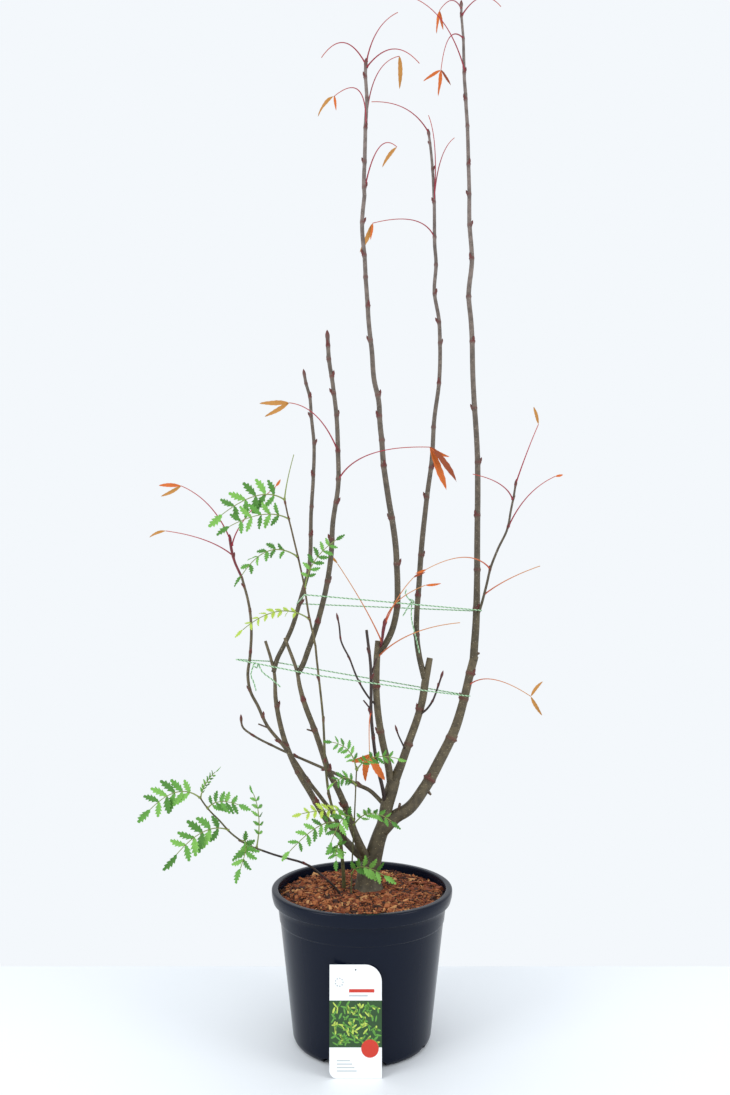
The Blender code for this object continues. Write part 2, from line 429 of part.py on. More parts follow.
def tube(name, points, radii, facets, guides, collection, closed=False):
    """A closed mesh tube: a curve with a bevel, made a mesh with its caps welded."""
    data = bpy.data.curves.new(name, "CURVE")
    data.dimensions = "3D"
    data.bevel_mode = "OBJECT"
    data.bevel_object = ring_profile(facets, guides)
    data.use_fill_caps = not closed
    spline = data.splines.new("POLY")
    spline.points.add(len(points) - 1)
    for point, place, radius in zip(spline.points, points, radii):
        point.co = (*place, 1)
        point.radius = radius
    spline.use_cyclic_u = closed
    curve = bpy.data.objects.new(name + "_line", data)
    collection.objects.link(curve)
    bpy.context.view_layer.update()
    mesh = bpy.data.meshes.new_from_object(curve.evaluated_get(bpy.context.evaluated_depsgraph_get()))
    made = bpy.data.objects.new(name, mesh)
    made.matrix_world = curve.matrix_world
    bpy.data.objects.remove(curve)
    tidy_mesh(mesh)
    collection.objects.link(made)
    return made


def face_outwards(body):
    """Turns a closed body's faces so that they all point out of it."""
    bmesh.ops.recalc_face_normals(body, faces=body.faces)
    if body.calc_volume(signed=True) < 0:
        bmesh.ops.reverse_faces(body, faces=body.faces)


def tidy_mesh(mesh):
    body = bmesh.new()
    body.from_mesh(mesh)
    bmesh.ops.remove_doubles(body, verts=body.verts, dist=1e-6)
    face_outwards(body)
    body.to_mesh(mesh)
    body.free()


def blade(name, root, tip, wide, face, thick, collection):
    """A leaflet or a bud: a sphere of four segments and two rings, drawn out from root to tip."""
    root, tip, face = Vector(root), Vector(tip), Vector(face)
    axis = tip - root
    across = face.cross(axis)
    if across.length < 1e-6:
        across = Vector((1, 0, 0)).cross(axis)
    across.normalize()
    normal = axis.cross(across).normalized()
    body = bmesh.new()
    bmesh.ops.create_uvsphere(body, u_segments=4, v_segments=2, radius=1)
    turn = Matrix((across * wide / 2, normal * thick / 2, axis / 2)).transposed().to_4x4()
    body.transform(Matrix.Translation((root + tip) / 2) @ turn)
    face_outwards(body)
    mesh = bpy.data.meshes.new(name)
    body.to_mesh(mesh)
    body.free()
    made = bpy.data.objects.new(name, mesh)
    collection.objects.link(made)
    return made


def bake(thing):
    """Replaces an object's mesh by what its modifiers make of it."""
    bpy.context.view_layer.update()
    mesh = bpy.data.meshes.new_from_object(thing.evaluated_get(bpy.context.evaluated_depsgraph_get()))
    thing.modifiers.clear()
    thing.data = mesh


def boolean(thing, operation, other):
    change = thing.modifiers.new(operation.lower(), "BOOLEAN")
    change.operation = operation
    change.solver = "MANIFOLD"
    if isinstance(other, bpy.types.Collection):
        change.operand_type = "COLLECTION"
        change.collection = other
    else:
        change.object = other
    bake(thing)


def keep_largest(thing):
    """Drops any loose scrap that a cut has left, found by walking from face to face."""
    body = bmesh.new()
    body.from_mesh(thing.data)
    left, islands = set(body.faces), []
    while left:
        todo = [left.pop()]
        island = list(todo)
        while todo:
            near = {face for edge in todo.pop().edges for face in edge.link_faces} & left
            left -= near
            island += near
            todo += near
        islands.append(island)
    islands.sort(key=len)
    loose = [face for island in islands[:-1] for face in island]
    bmesh.ops.delete(body, geom=loose, context="FACES")
    body.to_mesh(thing.data)
    body.free()


def helper_cylinder(name, radius, depth, facets, cutters):
    """A cylinder that only cuts, so that it shows in no render."""
    body = bmesh.new()
    bmesh.ops.create_cone(
        body, cap_ends=True, segments=facets, radius1=radius, radius2=radius, depth=depth
    )
    face_outwards(body)
    mesh = bpy.data.meshes.new(name)
    body.to_mesh(mesh)
    body.free()
    made = bpy.data.objects.new(name, mesh)
    made.hide_render = True
    made.display_type = "WIRE"
    cutters.objects.link(made)
    return made


def seat(thing, carriers, cutters, guides):
    """Cuts a foot to fit the limbs or the soil that carry it, a gap away from them."""
    for carrier in carriers:
        name = f"{carrier}_room"
        if name not in bpy.data.objects and carrier == "soil":
            room = helper_cylinder(name, MOUTH_RADIUS, 0.1, POT_FACETS, cutters)
            room.location.z = SOIL_TOP + GAP - 0.05
        elif name not in bpy.data.objects:
            points, radii = limb_line(LIMBS[carrier], fat=GAP)
            for end, next_to in ((0, 1), (-1, -2)):
                outwards = points[end] - points[next_to]
                points[end] += outwards / np.linalg.norm(outwards) * GAP
            room = tube(name, points, radii, LIMBS[carrier].get("facets", STEM_FACETS), guides, cutters)
            room.hide_render = True
            room.display_type = "WIRE"
        boolean(thing, "DIFFERENCE", bpy.data.objects[name])
    keep_largest(thing)


def fuse(thing, extras):
    """One union with everything in the collection, which is then emptied."""
    if not extras.objects:
        return
    boolean(thing, "UNION", extras)
    for piece in list(extras.objects):
        bpy.data.objects.remove(piece)


def build_limb(name, spec, collections, bark):
    parts, cutters, guides, extras = collections
    points, radii = limb_line(spec)
    limb = tube(name, points, radii, spec.get("facets", STEM_FACETS), guides, parts)
    spurs = SPURS.get(name, ())
    for at, reach, foot, tip in spurs:
        at, reach = np.array(at) * CM, np.array(reach) * CM
        line = at + np.linspace(0, 1, 3)[:, None] * reach
        tube("spur", line, np.linspace(foot, tip, 3) * MM / 2, TWIG_FACETS, guides, extras)
    if spurs:
        fuse(limb, extras)
    seat(limb, spec.get("seats", ()), cutters, guides)
    limb.data.materials.append(bark)
    return limb


def clear_of_limbs(points, room):
    """Whether all the points keep a distance from every limb."""
    for centres, radii in LIMB_ROOM:
        apart = np.linalg.norm(points[:, None] - centres[None], axis=2) - radii[None]
        if apart.min() < room:
            return False
    return True


def compound_leaf(line, pairs, length, roll, rng, extras):
    """Pairs of leaflets along a stalk and one at its end, in a plane turned by the roll."""
    face = Matrix.Rotation(math.radians(roll), 3, Vector(line[-1] - line[0]).normalized()) @ Vector((0, -1, 0))
    for k in range(pairs + 1):
        place = 0.24 + 0.76 * k / pairs
        at = np.array([np.interp(place, np.linspace(0, 1, len(line)), line[:, i]) for i in range(3)])
        ahead = np.array([np.interp(min(place + 0.02, 1), np.linspace(0, 1, len(line)), line[:, i]) for i in range(3)])
        along = Vector(ahead - at) if k < pairs else Vector(line[-1] - line[-2])
        along.normalize()
        side = Vector(face).cross(along).normalized()
        size = length * CM * (0.72 + 0.28 * math.sin(math.pi * (k + 0.5) / pairs)) if k < pairs else length * CM
        for way in (-1, 1) if k < pairs else (0,):
            swing = 0 if way == 0 else math.radians(58 + rng.uniform(-8, 8))
            heading = along * math.cos(swing) + side * way * math.sin(swing)
            heading += Vector(face) * rng.uniform(-0.12, 0.2) + Vector((0, 0, -0.10))
            heading.normalize()
            root = Vector(at) - heading * 1.4 * MM
            tip = Vector(at) + heading * size * rng.uniform(0.92, 1.06)
            reach = np.array([root.lerp(tip, t) for t in (0.3, 0.6, 1)])
            if clear_of_limbs(reach, 4 * MM):
                blade("leaflet", root, tip, size * 0.36, face, LEAF_THICK, extras)


def dried_leaf(at, reach, broad, rng, extras):
    """A curled, withered leaflet that hangs from the end of its stalk."""
    reach = Vector(reach) * CM
    face = Vector((rng.uniform(-0.5, 0.5), -1, rng.uniform(-0.3, 0.3)))
    root = Vector(at) - reach.normalized() * 1.2 * MM
    wide = max(6 * MM, reach.length * 0.2) * broad
    blade("dried", root, Vector(at) + reach, wide, face, 2.2 * MM, extras)


def build_mass(name, spec, collections, colour):
    parts, cutters, guides, extras = collections
    rng = np.random.default_rng(len(name) * 17 + len(spec["stalks"]))
    first, stalks = None, list(spec["stalks"])
    if spec["stem"]:
        points, radii = limb_line(spec["stem"])
        first = tube(name, points, radii, TWIG_FACETS, guides, parts)
    for stalk in stalks:
        at = np.array(stalk["at"]) * CM
        line = arc(at, np.array(stalk["lead"]) * CM, np.array(stalk["end"]) * CM, 7)
        radii = np.linspace(1.25, 0.75, len(line)) * STALK_RADIUS
        home = parts if first is None else extras
        made = tube(name if first is None else "stalk", line, radii, STALK_FACETS, guides, home)
        first = first or made
        if "pairs" in stalk:
            compound_leaf(line, stalk["pairs"], stalk["blade"], stalk.get("roll", 0), rng, extras)
        for reach in stalk.get("dried", ()):
            dried_leaf(line[-1], reach, stalk.get("broad", 1), rng, extras)
    fuse(first, extras)
    seat(first, spec["seats"], cutters, guides)
    first.data.materials.append(colour)
    return first


def turned(name, profile, facets, collection):
    """A profile of (radius, height) turned round the axis, outer side from top to bottom."""
    mesh = bpy.data.meshes.new(name)
    mesh.from_pydata([(r, 0, z) for r, z in profile], [(k, k + 1) for k in range(len(profile) - 1)], [])
    made = bpy.data.objects.new(name, mesh)
    collection.objects.link(made)
    screw = made.modifiers.new("turn", "SCREW")
    screw.steps = facets
    screw.render_steps = facets
    screw.use_merge_vertices = True
    screw.merge_threshold = 0.0001
    return made


def wall_radius(z):
    return WALL_FOOT_RADIUS + WALL_FLARE * z


def pot(parts, cutters, plastic):
    """A flared wall with a rolled rim and a foot that is cut away at the drain holes."""
    top = POT_HEIGHT
    outer = [
        (MOUTH_RADIUS, top - 3 * MM),
        (MOUTH_RADIUS + 3 * MM, top),
        (RIM_RADIUS - 4 * MM, top),
        (RIM_RADIUS, top - 4 * MM),
        (RIM_RADIUS - 0.5 * MM, top - 13 * MM),
        (RIM_RADIUS - 3 * MM, top - RIM_DEPTH + 3 * MM),
        (wall_radius(top) + 1 * MM, top - RIM_DEPTH),
        (wall_radius(BAND_HEIGHT) + BAND_STEP, BAND_HEIGHT + BAND_STEP),
        (wall_radius(BAND_HEIGHT), BAND_HEIGHT),
        (wall_radius(0.12), 0.12),
        (wall_radius(FOOT_ROUND), FOOT_ROUND),
        (wall_radius(0) - 4 * MM, 3 * MM),
        (FOOT_RADIUS, 0),
        (0, 0),
    ]
    inner = [
        (0, WALL),
        (FOOT_RADIUS - WALL, WALL),
        (wall_radius(FOOT_ROUND) - WALL, FOOT_ROUND),
        (wall_radius(BAND_HEIGHT) - WALL, BAND_HEIGHT),
        (MOUTH_RADIUS - 1 * MM, top - RIM_DEPTH),
        (MOUTH_RADIUS, top - 3 * MM),
    ]
    made = turned("pot", outer + inner, POT_FACETS, parts)
    for k in range(DRAINS):
        turn = 2 * math.pi * (k + 0.35) / DRAINS
        drain = helper_cylinder(f"drain_{k}", DRAIN_RADIUS, 0.03, 12, cutters)
        middle = FOOT_RADIUS + 0.010
        drain.location = (middle * math.cos(turn), middle * math.sin(turn), -1 * MM)
        drain.rotation_euler = (0, math.pi / 2, turn)
        change = made.modifiers.new(drain.name, "BOOLEAN")
        change.operation = "DIFFERENCE"
        change.object = drain
    made.data.materials.append(plastic)
    return made


def soil(parts, mix):
    """The growing mix, level round the stems and a little lower at the wall."""
    inside = WALL + GAP
    profile = [
        (0, SOIL_TOP),
        (SOIL_FLAT_RADIUS, SOIL_TOP),
        (0.5 * (SOIL_FLAT_RADIUS + MOUTH_RADIUS), 0.45 * SOIL_TOP + 0.55 * SOIL_EDGE),
        (MOUTH_RADIUS - 1 * MM - GAP, SOIL_EDGE),
        (MOUTH_RADIUS - 1 * MM - GAP, POT_HEIGHT - RIM_DEPTH),
        (wall_radius(BAND_HEIGHT) - inside, BAND_HEIGHT),
        (wall_radius(FOOT_ROUND) - inside, FOOT_ROUND + GAP),
        (FOOT_RADIUS - inside, WALL + GAP),
        (0, WALL + GAP),
    ]
    made = turned("soil", profile, POT_FACETS, parts)
    made.data.materials.append(mix)
    return made


def corner(centre, radius, start, steps=6):
    """A quarter round of an outline, from the start angle on, anticlockwise."""
    turns = [math.radians(start + 90 * k / steps) for k in range(steps + 1)]
    return [(centre[0] + radius * math.cos(a), centre[1] + radius * math.sin(a)) for a in turns]


def label_card(parts, paper):
    """A flat card with two round corners and a hanging hole, leaning on the wall."""
    half = CARD_WIDTH / 2
    foot = corner((-half + CARD_ROUND_FOOT, CARD_ROUND_FOOT), CARD_ROUND_FOOT, 180)
    top = corner((half - CARD_ROUND_TOP, CARD_HEIGHT - CARD_ROUND_TOP), CARD_ROUND_TOP, 0)
    outline = foot + [(half, 0)] + top + [(-half, CARD_HEIGHT)]
    hole = [
        (CARD_HOLE * math.cos(a), CARD_HEIGHT - 9 * MM + CARD_HOLE * math.sin(a))
        for a in (2 * math.pi * k / 8 for k in range(8))
    ]
    data = bpy.data.curves.new("label_card", "CURVE")
    data.dimensions = "2D"
    data.fill_mode = "BOTH"
    data.extrude = CARD_THICK / 2
    for line in (outline, hole):
        spline = data.splines.new("POLY")
        spline.points.add(len(line) - 1)
        for point, place in zip(spline.points, line):
            point.co = (*place, 0, 1)
        spline.use_cyclic_u = True
    card = bpy.data.objects.new("label_card", data)
    back_at_top = -wall_radius(CARD_HEIGHT) - GAP - CARD_THICK / 2
    lean = math.atan2(back_at_top - CARD_FOOT, CARD_HEIGHT)
    card.rotation_euler = (math.pi / 2 - lean, 0, 0)
    card.location = (CARD_CENTRE, CARD_FOOT, CARD_THICK / 2 * math.sin(lean) + 0.05 * MM)
    parts.objects.link(card)
    card.data.materials.append(paper)
    return card


def crossing(name, plane):
    """Where a stem passes through a tie's plane, and its radius there."""
    spec = LIMBS[name] if name in LIMBS else MASSES[name]["stem"]
    points, radii = limb_line(spec)
    fine = np.linspace(0, len(points) - 1, 40 * len(points))
    place = np.stack([np.interp(fine, np.arange(len(points)), points[:, i]) for i in range(3)], axis=1)
    radius = np.interp(fine, np.arange(len(points)), radii)
    level = (plane["height"] * CM + plane["slope_x"] * place[:, 0] + plane["slope_y"] * place[:, 1])
    k = np.argmin(np.abs(place[:, 2] - level))
    return place[k], radius[k]


def hull(points):
    """The convex outline of points in plan, anticlockwise."""
    points = sorted(map(tuple, points))
    chains = []
    for run in (points, points[::-1]):
        chain = []
        for p in run:
            while len(chain) > 1:
                (ax, ay), (bx, by) = chain[-2], chain[-1]
                if (bx - ax) * (p[1] - ay) - (by - ay) * (p[0] - ax) > 0:
                    break
                chain.pop()
            chain.append(p)
        chains.append(chain[:-1])
    return np.array(chains[0] + chains[1])


def tie(name, plane, holds, guides, parts, twine):
    """A taut loop of twine: the convex outline round the stems that it holds."""
    around = []
    for held in holds:
        place, radius = crossing(held, plane)
        reach = radius + TWINE_RADIUS + TIE_SLACK
        turns = 2 * math.pi * np.arange(12) / 12
        around += [(place[0] + reach * math.cos(a), place[1] + reach * math.sin(a)) for a in turns]
    left = min(around)
    around.append((left[0] - plane["wide"] * CM, left[1]))
    outline = hull(around)
    step = np.linalg.norm(np.roll(outline, -1, axis=0) - outline, axis=1)
    flat = outline[step > 1 * MM]
    z = plane["height"] * CM + plane["slope_x"] * flat[:, 0] + plane["slope_y"] * flat[:, 1]
    line = np.column_stack([flat, z])
    made = tube(name, line, np.full(len(line), TWINE_RADIUS), TWIG_FACETS, guides, parts, closed=True)
    made.data.materials.append(twine)
    return made


clear_scene()
PARTS = new_collection("potted_rowan")
CUTTERS = new_collection("cutters")
GUIDES = new_collection("guides")
EXTRAS = new_collection("pieces_to_fuse")
COLLECTIONS = (PARTS, CUTTERS, GUIDES, EXTRAS)
LIMB_ROOM = []
for spec in LIMBS.values():
    centres, radii = limb_line(spec)
    dense = np.linspace(0, len(centres) - 1, 4 * len(centres))
    LIMB_ROOM.append((
        np.stack([np.interp(dense, np.arange(len(centres)), centres[:, i]) for i in range(3)], axis=1),
        np.interp(dense, np.arange(len(centres)), radii),
    ))

PLASTIC = material("black_polypropylene", (0.012, 0.014, 0.018), 0.38)
MIX = material("bark_compost", (0.16, 0.065, 0.035), 0.95)
BARK = material("rowan_bark", (0.17, 0.15, 0.12), 0.75)
GREEN = material("rowan_leaf", (0.10, 0.24, 0.04), 0.5)
RED = material("autumn_stalk", (0.36, 0.06, 0.05), 0.55)
TWINE = material("green_twine", (0.35, 0.50, 0.30), 0.7)
CARD = material("card", (0.85, 0.86, 0.87), 0.4)

pot(PARTS, CUTTERS, PLASTIC)
soil(PARTS, MIX)
label_card(PARTS, CARD)
for limb_name, limb_spec in LIMBS.items():
    build_limb(limb_name, limb_spec, COLLECTIONS, BARK)
for mass_name, mass_spec in MASSES.items():
    leafy = any("pairs" in stalk for stalk in mass_spec["stalks"])
    build_mass(mass_name, mass_spec, COLLECTIONS, GREEN if leafy else RED)
tie("lower_tie", TIES["lower_tie"], LOWER_TIE_HOLDS, GUIDES, PARTS, TWINE)
tie("upper_tie", TIES["upper_tie"], UPPER_TIE_HOLDS, GUIDES, PARTS, TWINE)
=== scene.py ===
# %% [markdown]
# # A rowan in its nursery pot, nearly bare
#
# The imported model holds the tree's limbs and masses as plain solids. This lesson dresses them:
# bark with nodes and buds, fine red leaf stalks, leaflets with toothed edges, a moulded pot,
# loose bark in it, twisted twine and a printed card. Every piece stands where its solid does,
# so the frame is loaded first and nothing is fitted afterwards.

import math

import bmesh
import bpy
import numpy as np
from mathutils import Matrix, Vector


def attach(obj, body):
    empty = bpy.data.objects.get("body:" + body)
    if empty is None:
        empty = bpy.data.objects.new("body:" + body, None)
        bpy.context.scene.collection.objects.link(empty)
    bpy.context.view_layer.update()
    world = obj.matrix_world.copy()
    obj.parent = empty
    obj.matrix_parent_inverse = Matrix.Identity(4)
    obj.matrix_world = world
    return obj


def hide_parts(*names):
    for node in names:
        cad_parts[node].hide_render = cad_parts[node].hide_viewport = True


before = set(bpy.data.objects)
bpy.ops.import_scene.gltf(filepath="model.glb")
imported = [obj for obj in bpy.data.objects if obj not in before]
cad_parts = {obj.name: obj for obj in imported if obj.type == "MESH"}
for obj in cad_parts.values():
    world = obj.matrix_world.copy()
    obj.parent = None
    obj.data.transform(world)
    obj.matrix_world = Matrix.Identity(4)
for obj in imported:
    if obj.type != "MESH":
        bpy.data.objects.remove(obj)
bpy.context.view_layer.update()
CM = 0.01
MM = 0.001

# %% [markdown]
# ## Colours and materials
#
# Colours are written as they look on a screen, as sRGB hex, and turned to linear once. Each
# material is a Principled shader; one small helper adds a node with its settings and links.
# Patterns read Object coordinates, which equal the place on the plant, so a pattern's scale
# is one over its real size in metres.


# %% Material helpers
RAMP = "ShaderNodeValToRGB"
MIX = "ShaderNodeMix"


def linear(hex_colour):
    """The linear value of an sRGB colour such as 7a5c3e."""
    parts = [int(hex_colour[k : k + 2], 16) / 255 for k in (0, 2, 4)]
    return tuple(c / 12.92 if c <= 0.04045 else ((c + 0.055) / 1.055) ** 2.4 for c in parts) + (1,)


def add(material, kind, links=(), values=(), stops=(), **settings):
    """Adds a node: its settings, its inputs' values, a ramp's (place, colour) stops and its links."""
    made = material.node_tree.nodes.new(kind)
    for key, value in settings.items():
        setattr(made, key, value)
    for key, value in dict(values).items():
        made.inputs[key].default_value = value
    for k, (place, colour) in enumerate(stops):
        element = made.color_ramp.elements[k] if k < 2 else made.color_ramp.elements.new(place)
        element.position = place
        element.color = linear(colour)
    for to, source, out in links:
        material.node_tree.links.new(source.outputs[out], made.inputs[to])
    return made


def plain(name, colour, roughness, **more):
    made = bpy.data.materials.new(name)
    made.use_nodes = True
    shader = made.node_tree.nodes["Principled BSDF"]
    shader.inputs["Base Color"].default_value = linear(colour)
    shader.inputs["Roughness"].default_value = roughness
    for key, value in more.items():
        shader.inputs[key.replace("_", " ").title()].default_value = value
    return made


def feed(material, socket, source, out):
    shader = material.node_tree.nodes["Principled BSDF"]
    material.node_tree.links.new(source.outputs[out], shader.inputs[socket])


# %% [markdown]
# ### Young bark
#
# Rowan bark on stems of this age is smooth and satin, olive brown on the old wood near the
# soil and grey with a mauve cast higher up. It is dotted with pale lenticels, wider than
# tall. Nodes and buds are dark red-brown; the mesh carries them as the attribute "node".


# %% Bark
def bark(name, low, high, spot, low_z=0.30, high_z=1.30):
    made = plain(name, low, 0.62)
    place = add(made, "ShaderNodeTexCoord")
    parts = add(made, "ShaderNodeSeparateXYZ", links=[("Vector", place, "Object")])
    reach = {"From Min": low_z, "From Max": high_z}
    height = add(made, "ShaderNodeMapRange", links=[("Value", parts, "Z")], values=reach)
    base = add(made, RAMP, links=[("Fac", height, "Result")], stops=[(0, low), (1, high)])
    # Mottling in patches of about 12 mm
    coarse = {"Scale": 85.0, "Detail": 3.0}
    mottle = add(made, "ShaderNodeTexNoise", links=[("Vector", place, "Object")], values=coarse)
    greys = [(0.35, "6f6a60"), (0.65, "ffffff")]
    patches = add(made, RAMP, links=[("Fac", mottle, "Fac")], stops=greys)
    pair = [("A", base, "Color"), ("B", patches, "Color")]
    part = {"Factor": 0.55}
    tone = add(made, MIX, links=pair, values=part, data_type="RGBA", blend_type="MULTIPLY")
    # Lenticels: cells about 4 mm apart round the stem and 9 mm along it
    wide = {"Scale": (1, 1, 2.2)}
    squash = add(made, "ShaderNodeMapping", links=[("Vector", place, "Object")], values=wide)
    cell = {"Scale": 130.0}
    cells = add(made, "ShaderNodeTexVoronoi", links=[("Vector", squash, "Vector")], values=cell)
    edge = [(0.10, "ffffff"), (0.17, "000000")]
    dots = add(made, RAMP, links=[("Fac", cells, "Distance")], stops=edge)
    pair = [("Factor", dots, "Color"), ("A", tone, "Result")]
    spotted = add(made, MIX, links=pair, values={"B": linear(spot)}, data_type="RGBA")
    marks = add(made, "ShaderNodeAttribute", attribute_name="node")
    pair = [("Factor", marks, "Fac"), ("A", spotted, "Result")]
    marked = add(made, MIX, links=pair, values={"B": linear("5e1e1b")}, data_type="RGBA")
    feed(made, "Base Color", marked, "Result")
    relief = {"Strength": 0.5, "Distance": 0.4 * MM}
    bump = add(made, "ShaderNodeBump", links=[("Height", cells, "Distance")], values=relief)
    feed(made, "Normal", bump, "Normal")
    return made


BARK_OLD = bark("rowan bark, old wood", "4d442f", "746549", "988c69")
BARK_YOUNG = bark("rowan bark, year-old wood", "50462f", "7a6c66", "9a8e80", 0.8, 1.7)
BARK_DARK = bark("rowan bark, dark shoots", "2a1e19", "43302a", "5e4a3e")
BARK_OLIVE = bark("green wood of this year", "55552f", "6a5438", "8a8560")
BARK_RED = bark("crimson shoot tip", "65162a", "7a2a30", "8d4a44")
CUT_WOOD = plain("weathered cut wood", "8d7a5e", 0.85)

# %% [markdown]
# ### Leaves and stalks
#
# Fresh rowan leaflets are matt and a little translucent. The last ones on this plant have
# dried to orange, tan and brown. A leaf stalk is crimson where it leaves the stem and fades
# to orange; the mesh says how far along each point is in the attribute "along".


# %% Leaves and stalks
def leaf_material(name, colour, roughness=0.55):
    made = plain(name, colour, roughness)
    made.node_tree.nodes["Principled BSDF"].inputs["Specular IOR Level"].default_value = 0.3
    return made


LEAF_GREENS = [
    leaf_material("leaf, deep green", "4d8233"),
    leaf_material("leaf, mid green", "609a40"),
    leaf_material("leaf, fresh green", "78b04f"),
    leaf_material("leaf, turning yellow", "a9c24a"),
]
DRIED = [
    leaf_material("withered leaf, orange", "c7662a", 0.7),
    leaf_material("withered leaf, tan", "b57f3e", 0.7),
    leaf_material("withered leaf, brown red", "8d4426", 0.7),
]
STALK_RED = plain("leaf stalk, crimson to orange", "a02035", 0.45)
along = add(STALK_RED, "ShaderNodeAttribute", attribute_name="along")
# Crimson at the stalk's foot, orange at its end
REDS = [(0, "860d28"), (0.3, "a01530"), (0.5, "b0402c"), (0.7, "bf662c"), (1, "c48642")]
stalk_colours = add(STALK_RED, RAMP, links=[("Fac", along, "Fac")], stops=REDS)
feed(STALK_RED, "Base Color", stalk_colours, "Color")
STALK_GREEN = plain("leaf stalk, green", "7d8a45", 0.5)

# %% [markdown]
# ### Pot, bark compost, twine and card


# %% Other materials
# Injection-moulded polypropylene: near black with a blue cast, and a broad satin highlight
PLASTIC = plain("polypropylene, moulded black", "0e1524", 0.3)
PLASTIC.node_tree.nodes["Principled BSDF"].inputs["Specular IOR Level"].default_value = 0.13
place = add(PLASTIC, "ShaderNodeTexCoord")
broad = {"Scale": 9.0, "Detail": 5.0}
scuffs = add(PLASTIC, "ShaderNodeTexNoise", links=[("Vector", place, "Object")], values=broad)
satin = {"To Min": 0.16, "To Max": 0.32}
sheen = add(PLASTIC, "ShaderNodeMapRange", links=[("Value", scuffs, "Fac")], values=satin)
feed(PLASTIC, "Roughness", sheen, "Result")
fine = {"Scale": 900.0}
grain = add(PLASTIC, "ShaderNodeTexNoise", links=[("Vector", place, "Object")], values=fine)
relief = {"Strength": 0.4, "Distance": 0.05 * MM}
bump = add(PLASTIC, "ShaderNodeBump", links=[("Height", grain, "Fac")], values=relief)
feed(PLASTIC, "Normal", bump, "Normal")

CHIP_COLOURS = [
    plain("composted bark, dark", "3c2016", 0.95),
    plain("composted bark, red brown", "7c3f22", 0.95),
    plain("composted bark, orange", "a05f35", 0.95),
    plain("composted bark, tan fibre", "c08d5a", 0.95),
]
FINES = plain("peat between the chips", "2e1a12", 1.0)
# Polypropylene baler twine, pale mint where the light passes along its fibres
TWINE = plain("green twine", "b4d6b0", 0.55)
TWINE_DARK = plain("green twine, shaded strand", "5f9160", 0.6)
CARD_WHITE = plain("coated card", "f1f3f4", 0.3)
PRINT = {
    "deep": plain("print, deep green", "24481f", 0.35),
    "leaf": plain("print, leaf green", "5d9a3a", 0.35),
    "lime": plain("print, lime", "b7cf55", 0.35),
    "red": plain("print, red", "c8321e", 0.35),
    "grey": plain("print, grey", "b9c0c2", 0.35),
    # Painted shade: no hanging hole is cut; this near-black print stands for the shade seen through it
    "hole": plain("hanging hole, in shade", "14161c", 0.6),
}

# %% [markdown]
# ## How stems are made
#
# A stem is a parametric surface: a smooth curve runs through its places, and a ring of
# points stands on each step of the curve, turned as little as possible from the one before.
# The ring's radius follows an even taper, swells at each node, and waves a little, as a
# grown stem's does. One ring each 3 mm is fine enough for the nodes' relief.


# %% Curves and rings
def smooth_path(places, spacing):
    """Points a given spacing apart on a smooth curve through the places, in metres."""
    places = np.array(places, float)
    reach = np.concatenate([[0], np.cumsum(np.linalg.norm(np.diff(places, axis=0), axis=1))])
    tangents = np.gradient(places, reach, axis=0)
    along = np.linspace(0, reach[-1], max(3, int(reach[-1] / spacing) + 1))
    k = np.clip(np.searchsorted(reach, along, side="right") - 1, 0, len(reach) - 2)
    h = (reach[k + 1] - reach[k])[:, None]
    u = (along - reach[k])[:, None] / h
    return (
        (2 * u**3 - 3 * u**2 + 1) * places[k]
        + (u**3 - 2 * u**2 + u) * h * tangents[k]
        + (3 * u**2 - 2 * u**3) * places[k + 1]
        + (u**3 - u**2) * h * tangents[k + 1]
    ), along


def arc(at, lead, end, count):
    """A stalk's line: it leaves its place towards the lead and bends over to its end."""
    t = np.linspace(0, 1, count)[:, None]
    return at + 2 * t * (1 - t) * lead + t * t * end


def ring_axes(points):
    """Two unit vectors across the path at each point, turned as little as possible."""
    ahead = np.gradient(points, axis=0)
    ahead /= np.linalg.norm(ahead, axis=1)[:, None]
    side = np.cross(ahead[0], (0, 1, 0.01))
    sides = []
    for direction in ahead:
        side = side - direction * side.dot(direction)
        side /= np.linalg.norm(side)
        sides.append(side)
    sides = np.array(sides)
    return ahead, sides, np.cross(ahead, sides)


def tube(points, radii, facets=8):
    """A closed skin round a path; radii holds one value a ring, or one for each of its points."""
    points = np.asarray(points, float)
    radii = np.broadcast_to(np.atleast_2d(np.asarray(radii, float).T).T, (len(points), facets))
    ahead, sides, ups = ring_axes(points)
    turn = 2 * np.pi * np.arange(facets) / facets
    rings = points[:, None] + radii[..., None] * (
        np.cos(turn)[None, :, None] * sides[:, None] + np.sin(turn)[None, :, None] * ups[:, None]
    )
    verts = np.concatenate([rings.reshape(-1, 3), points[:1], points[-1:]])
    step = np.arange(len(points) - 1)[:, None] * facets
    k = np.arange(facets)[None]
    after = (k + 1) % facets
    quads = np.stack([step + k, step + after, step + facets + after, step + facets + k], -1).reshape(-1, 4)
    start, stop = len(verts) - 2, len(verts) - 1
    last = (len(points) - 1) * facets
    caps = [(start, b, a) for a, b in zip(k[0], after[0])]
    caps += [(stop, last + a, last + b) for a, b in zip(k[0], after[0])]
    return verts, [tuple(q) for q in quads] + [tuple(map(int, c)) for c in caps]


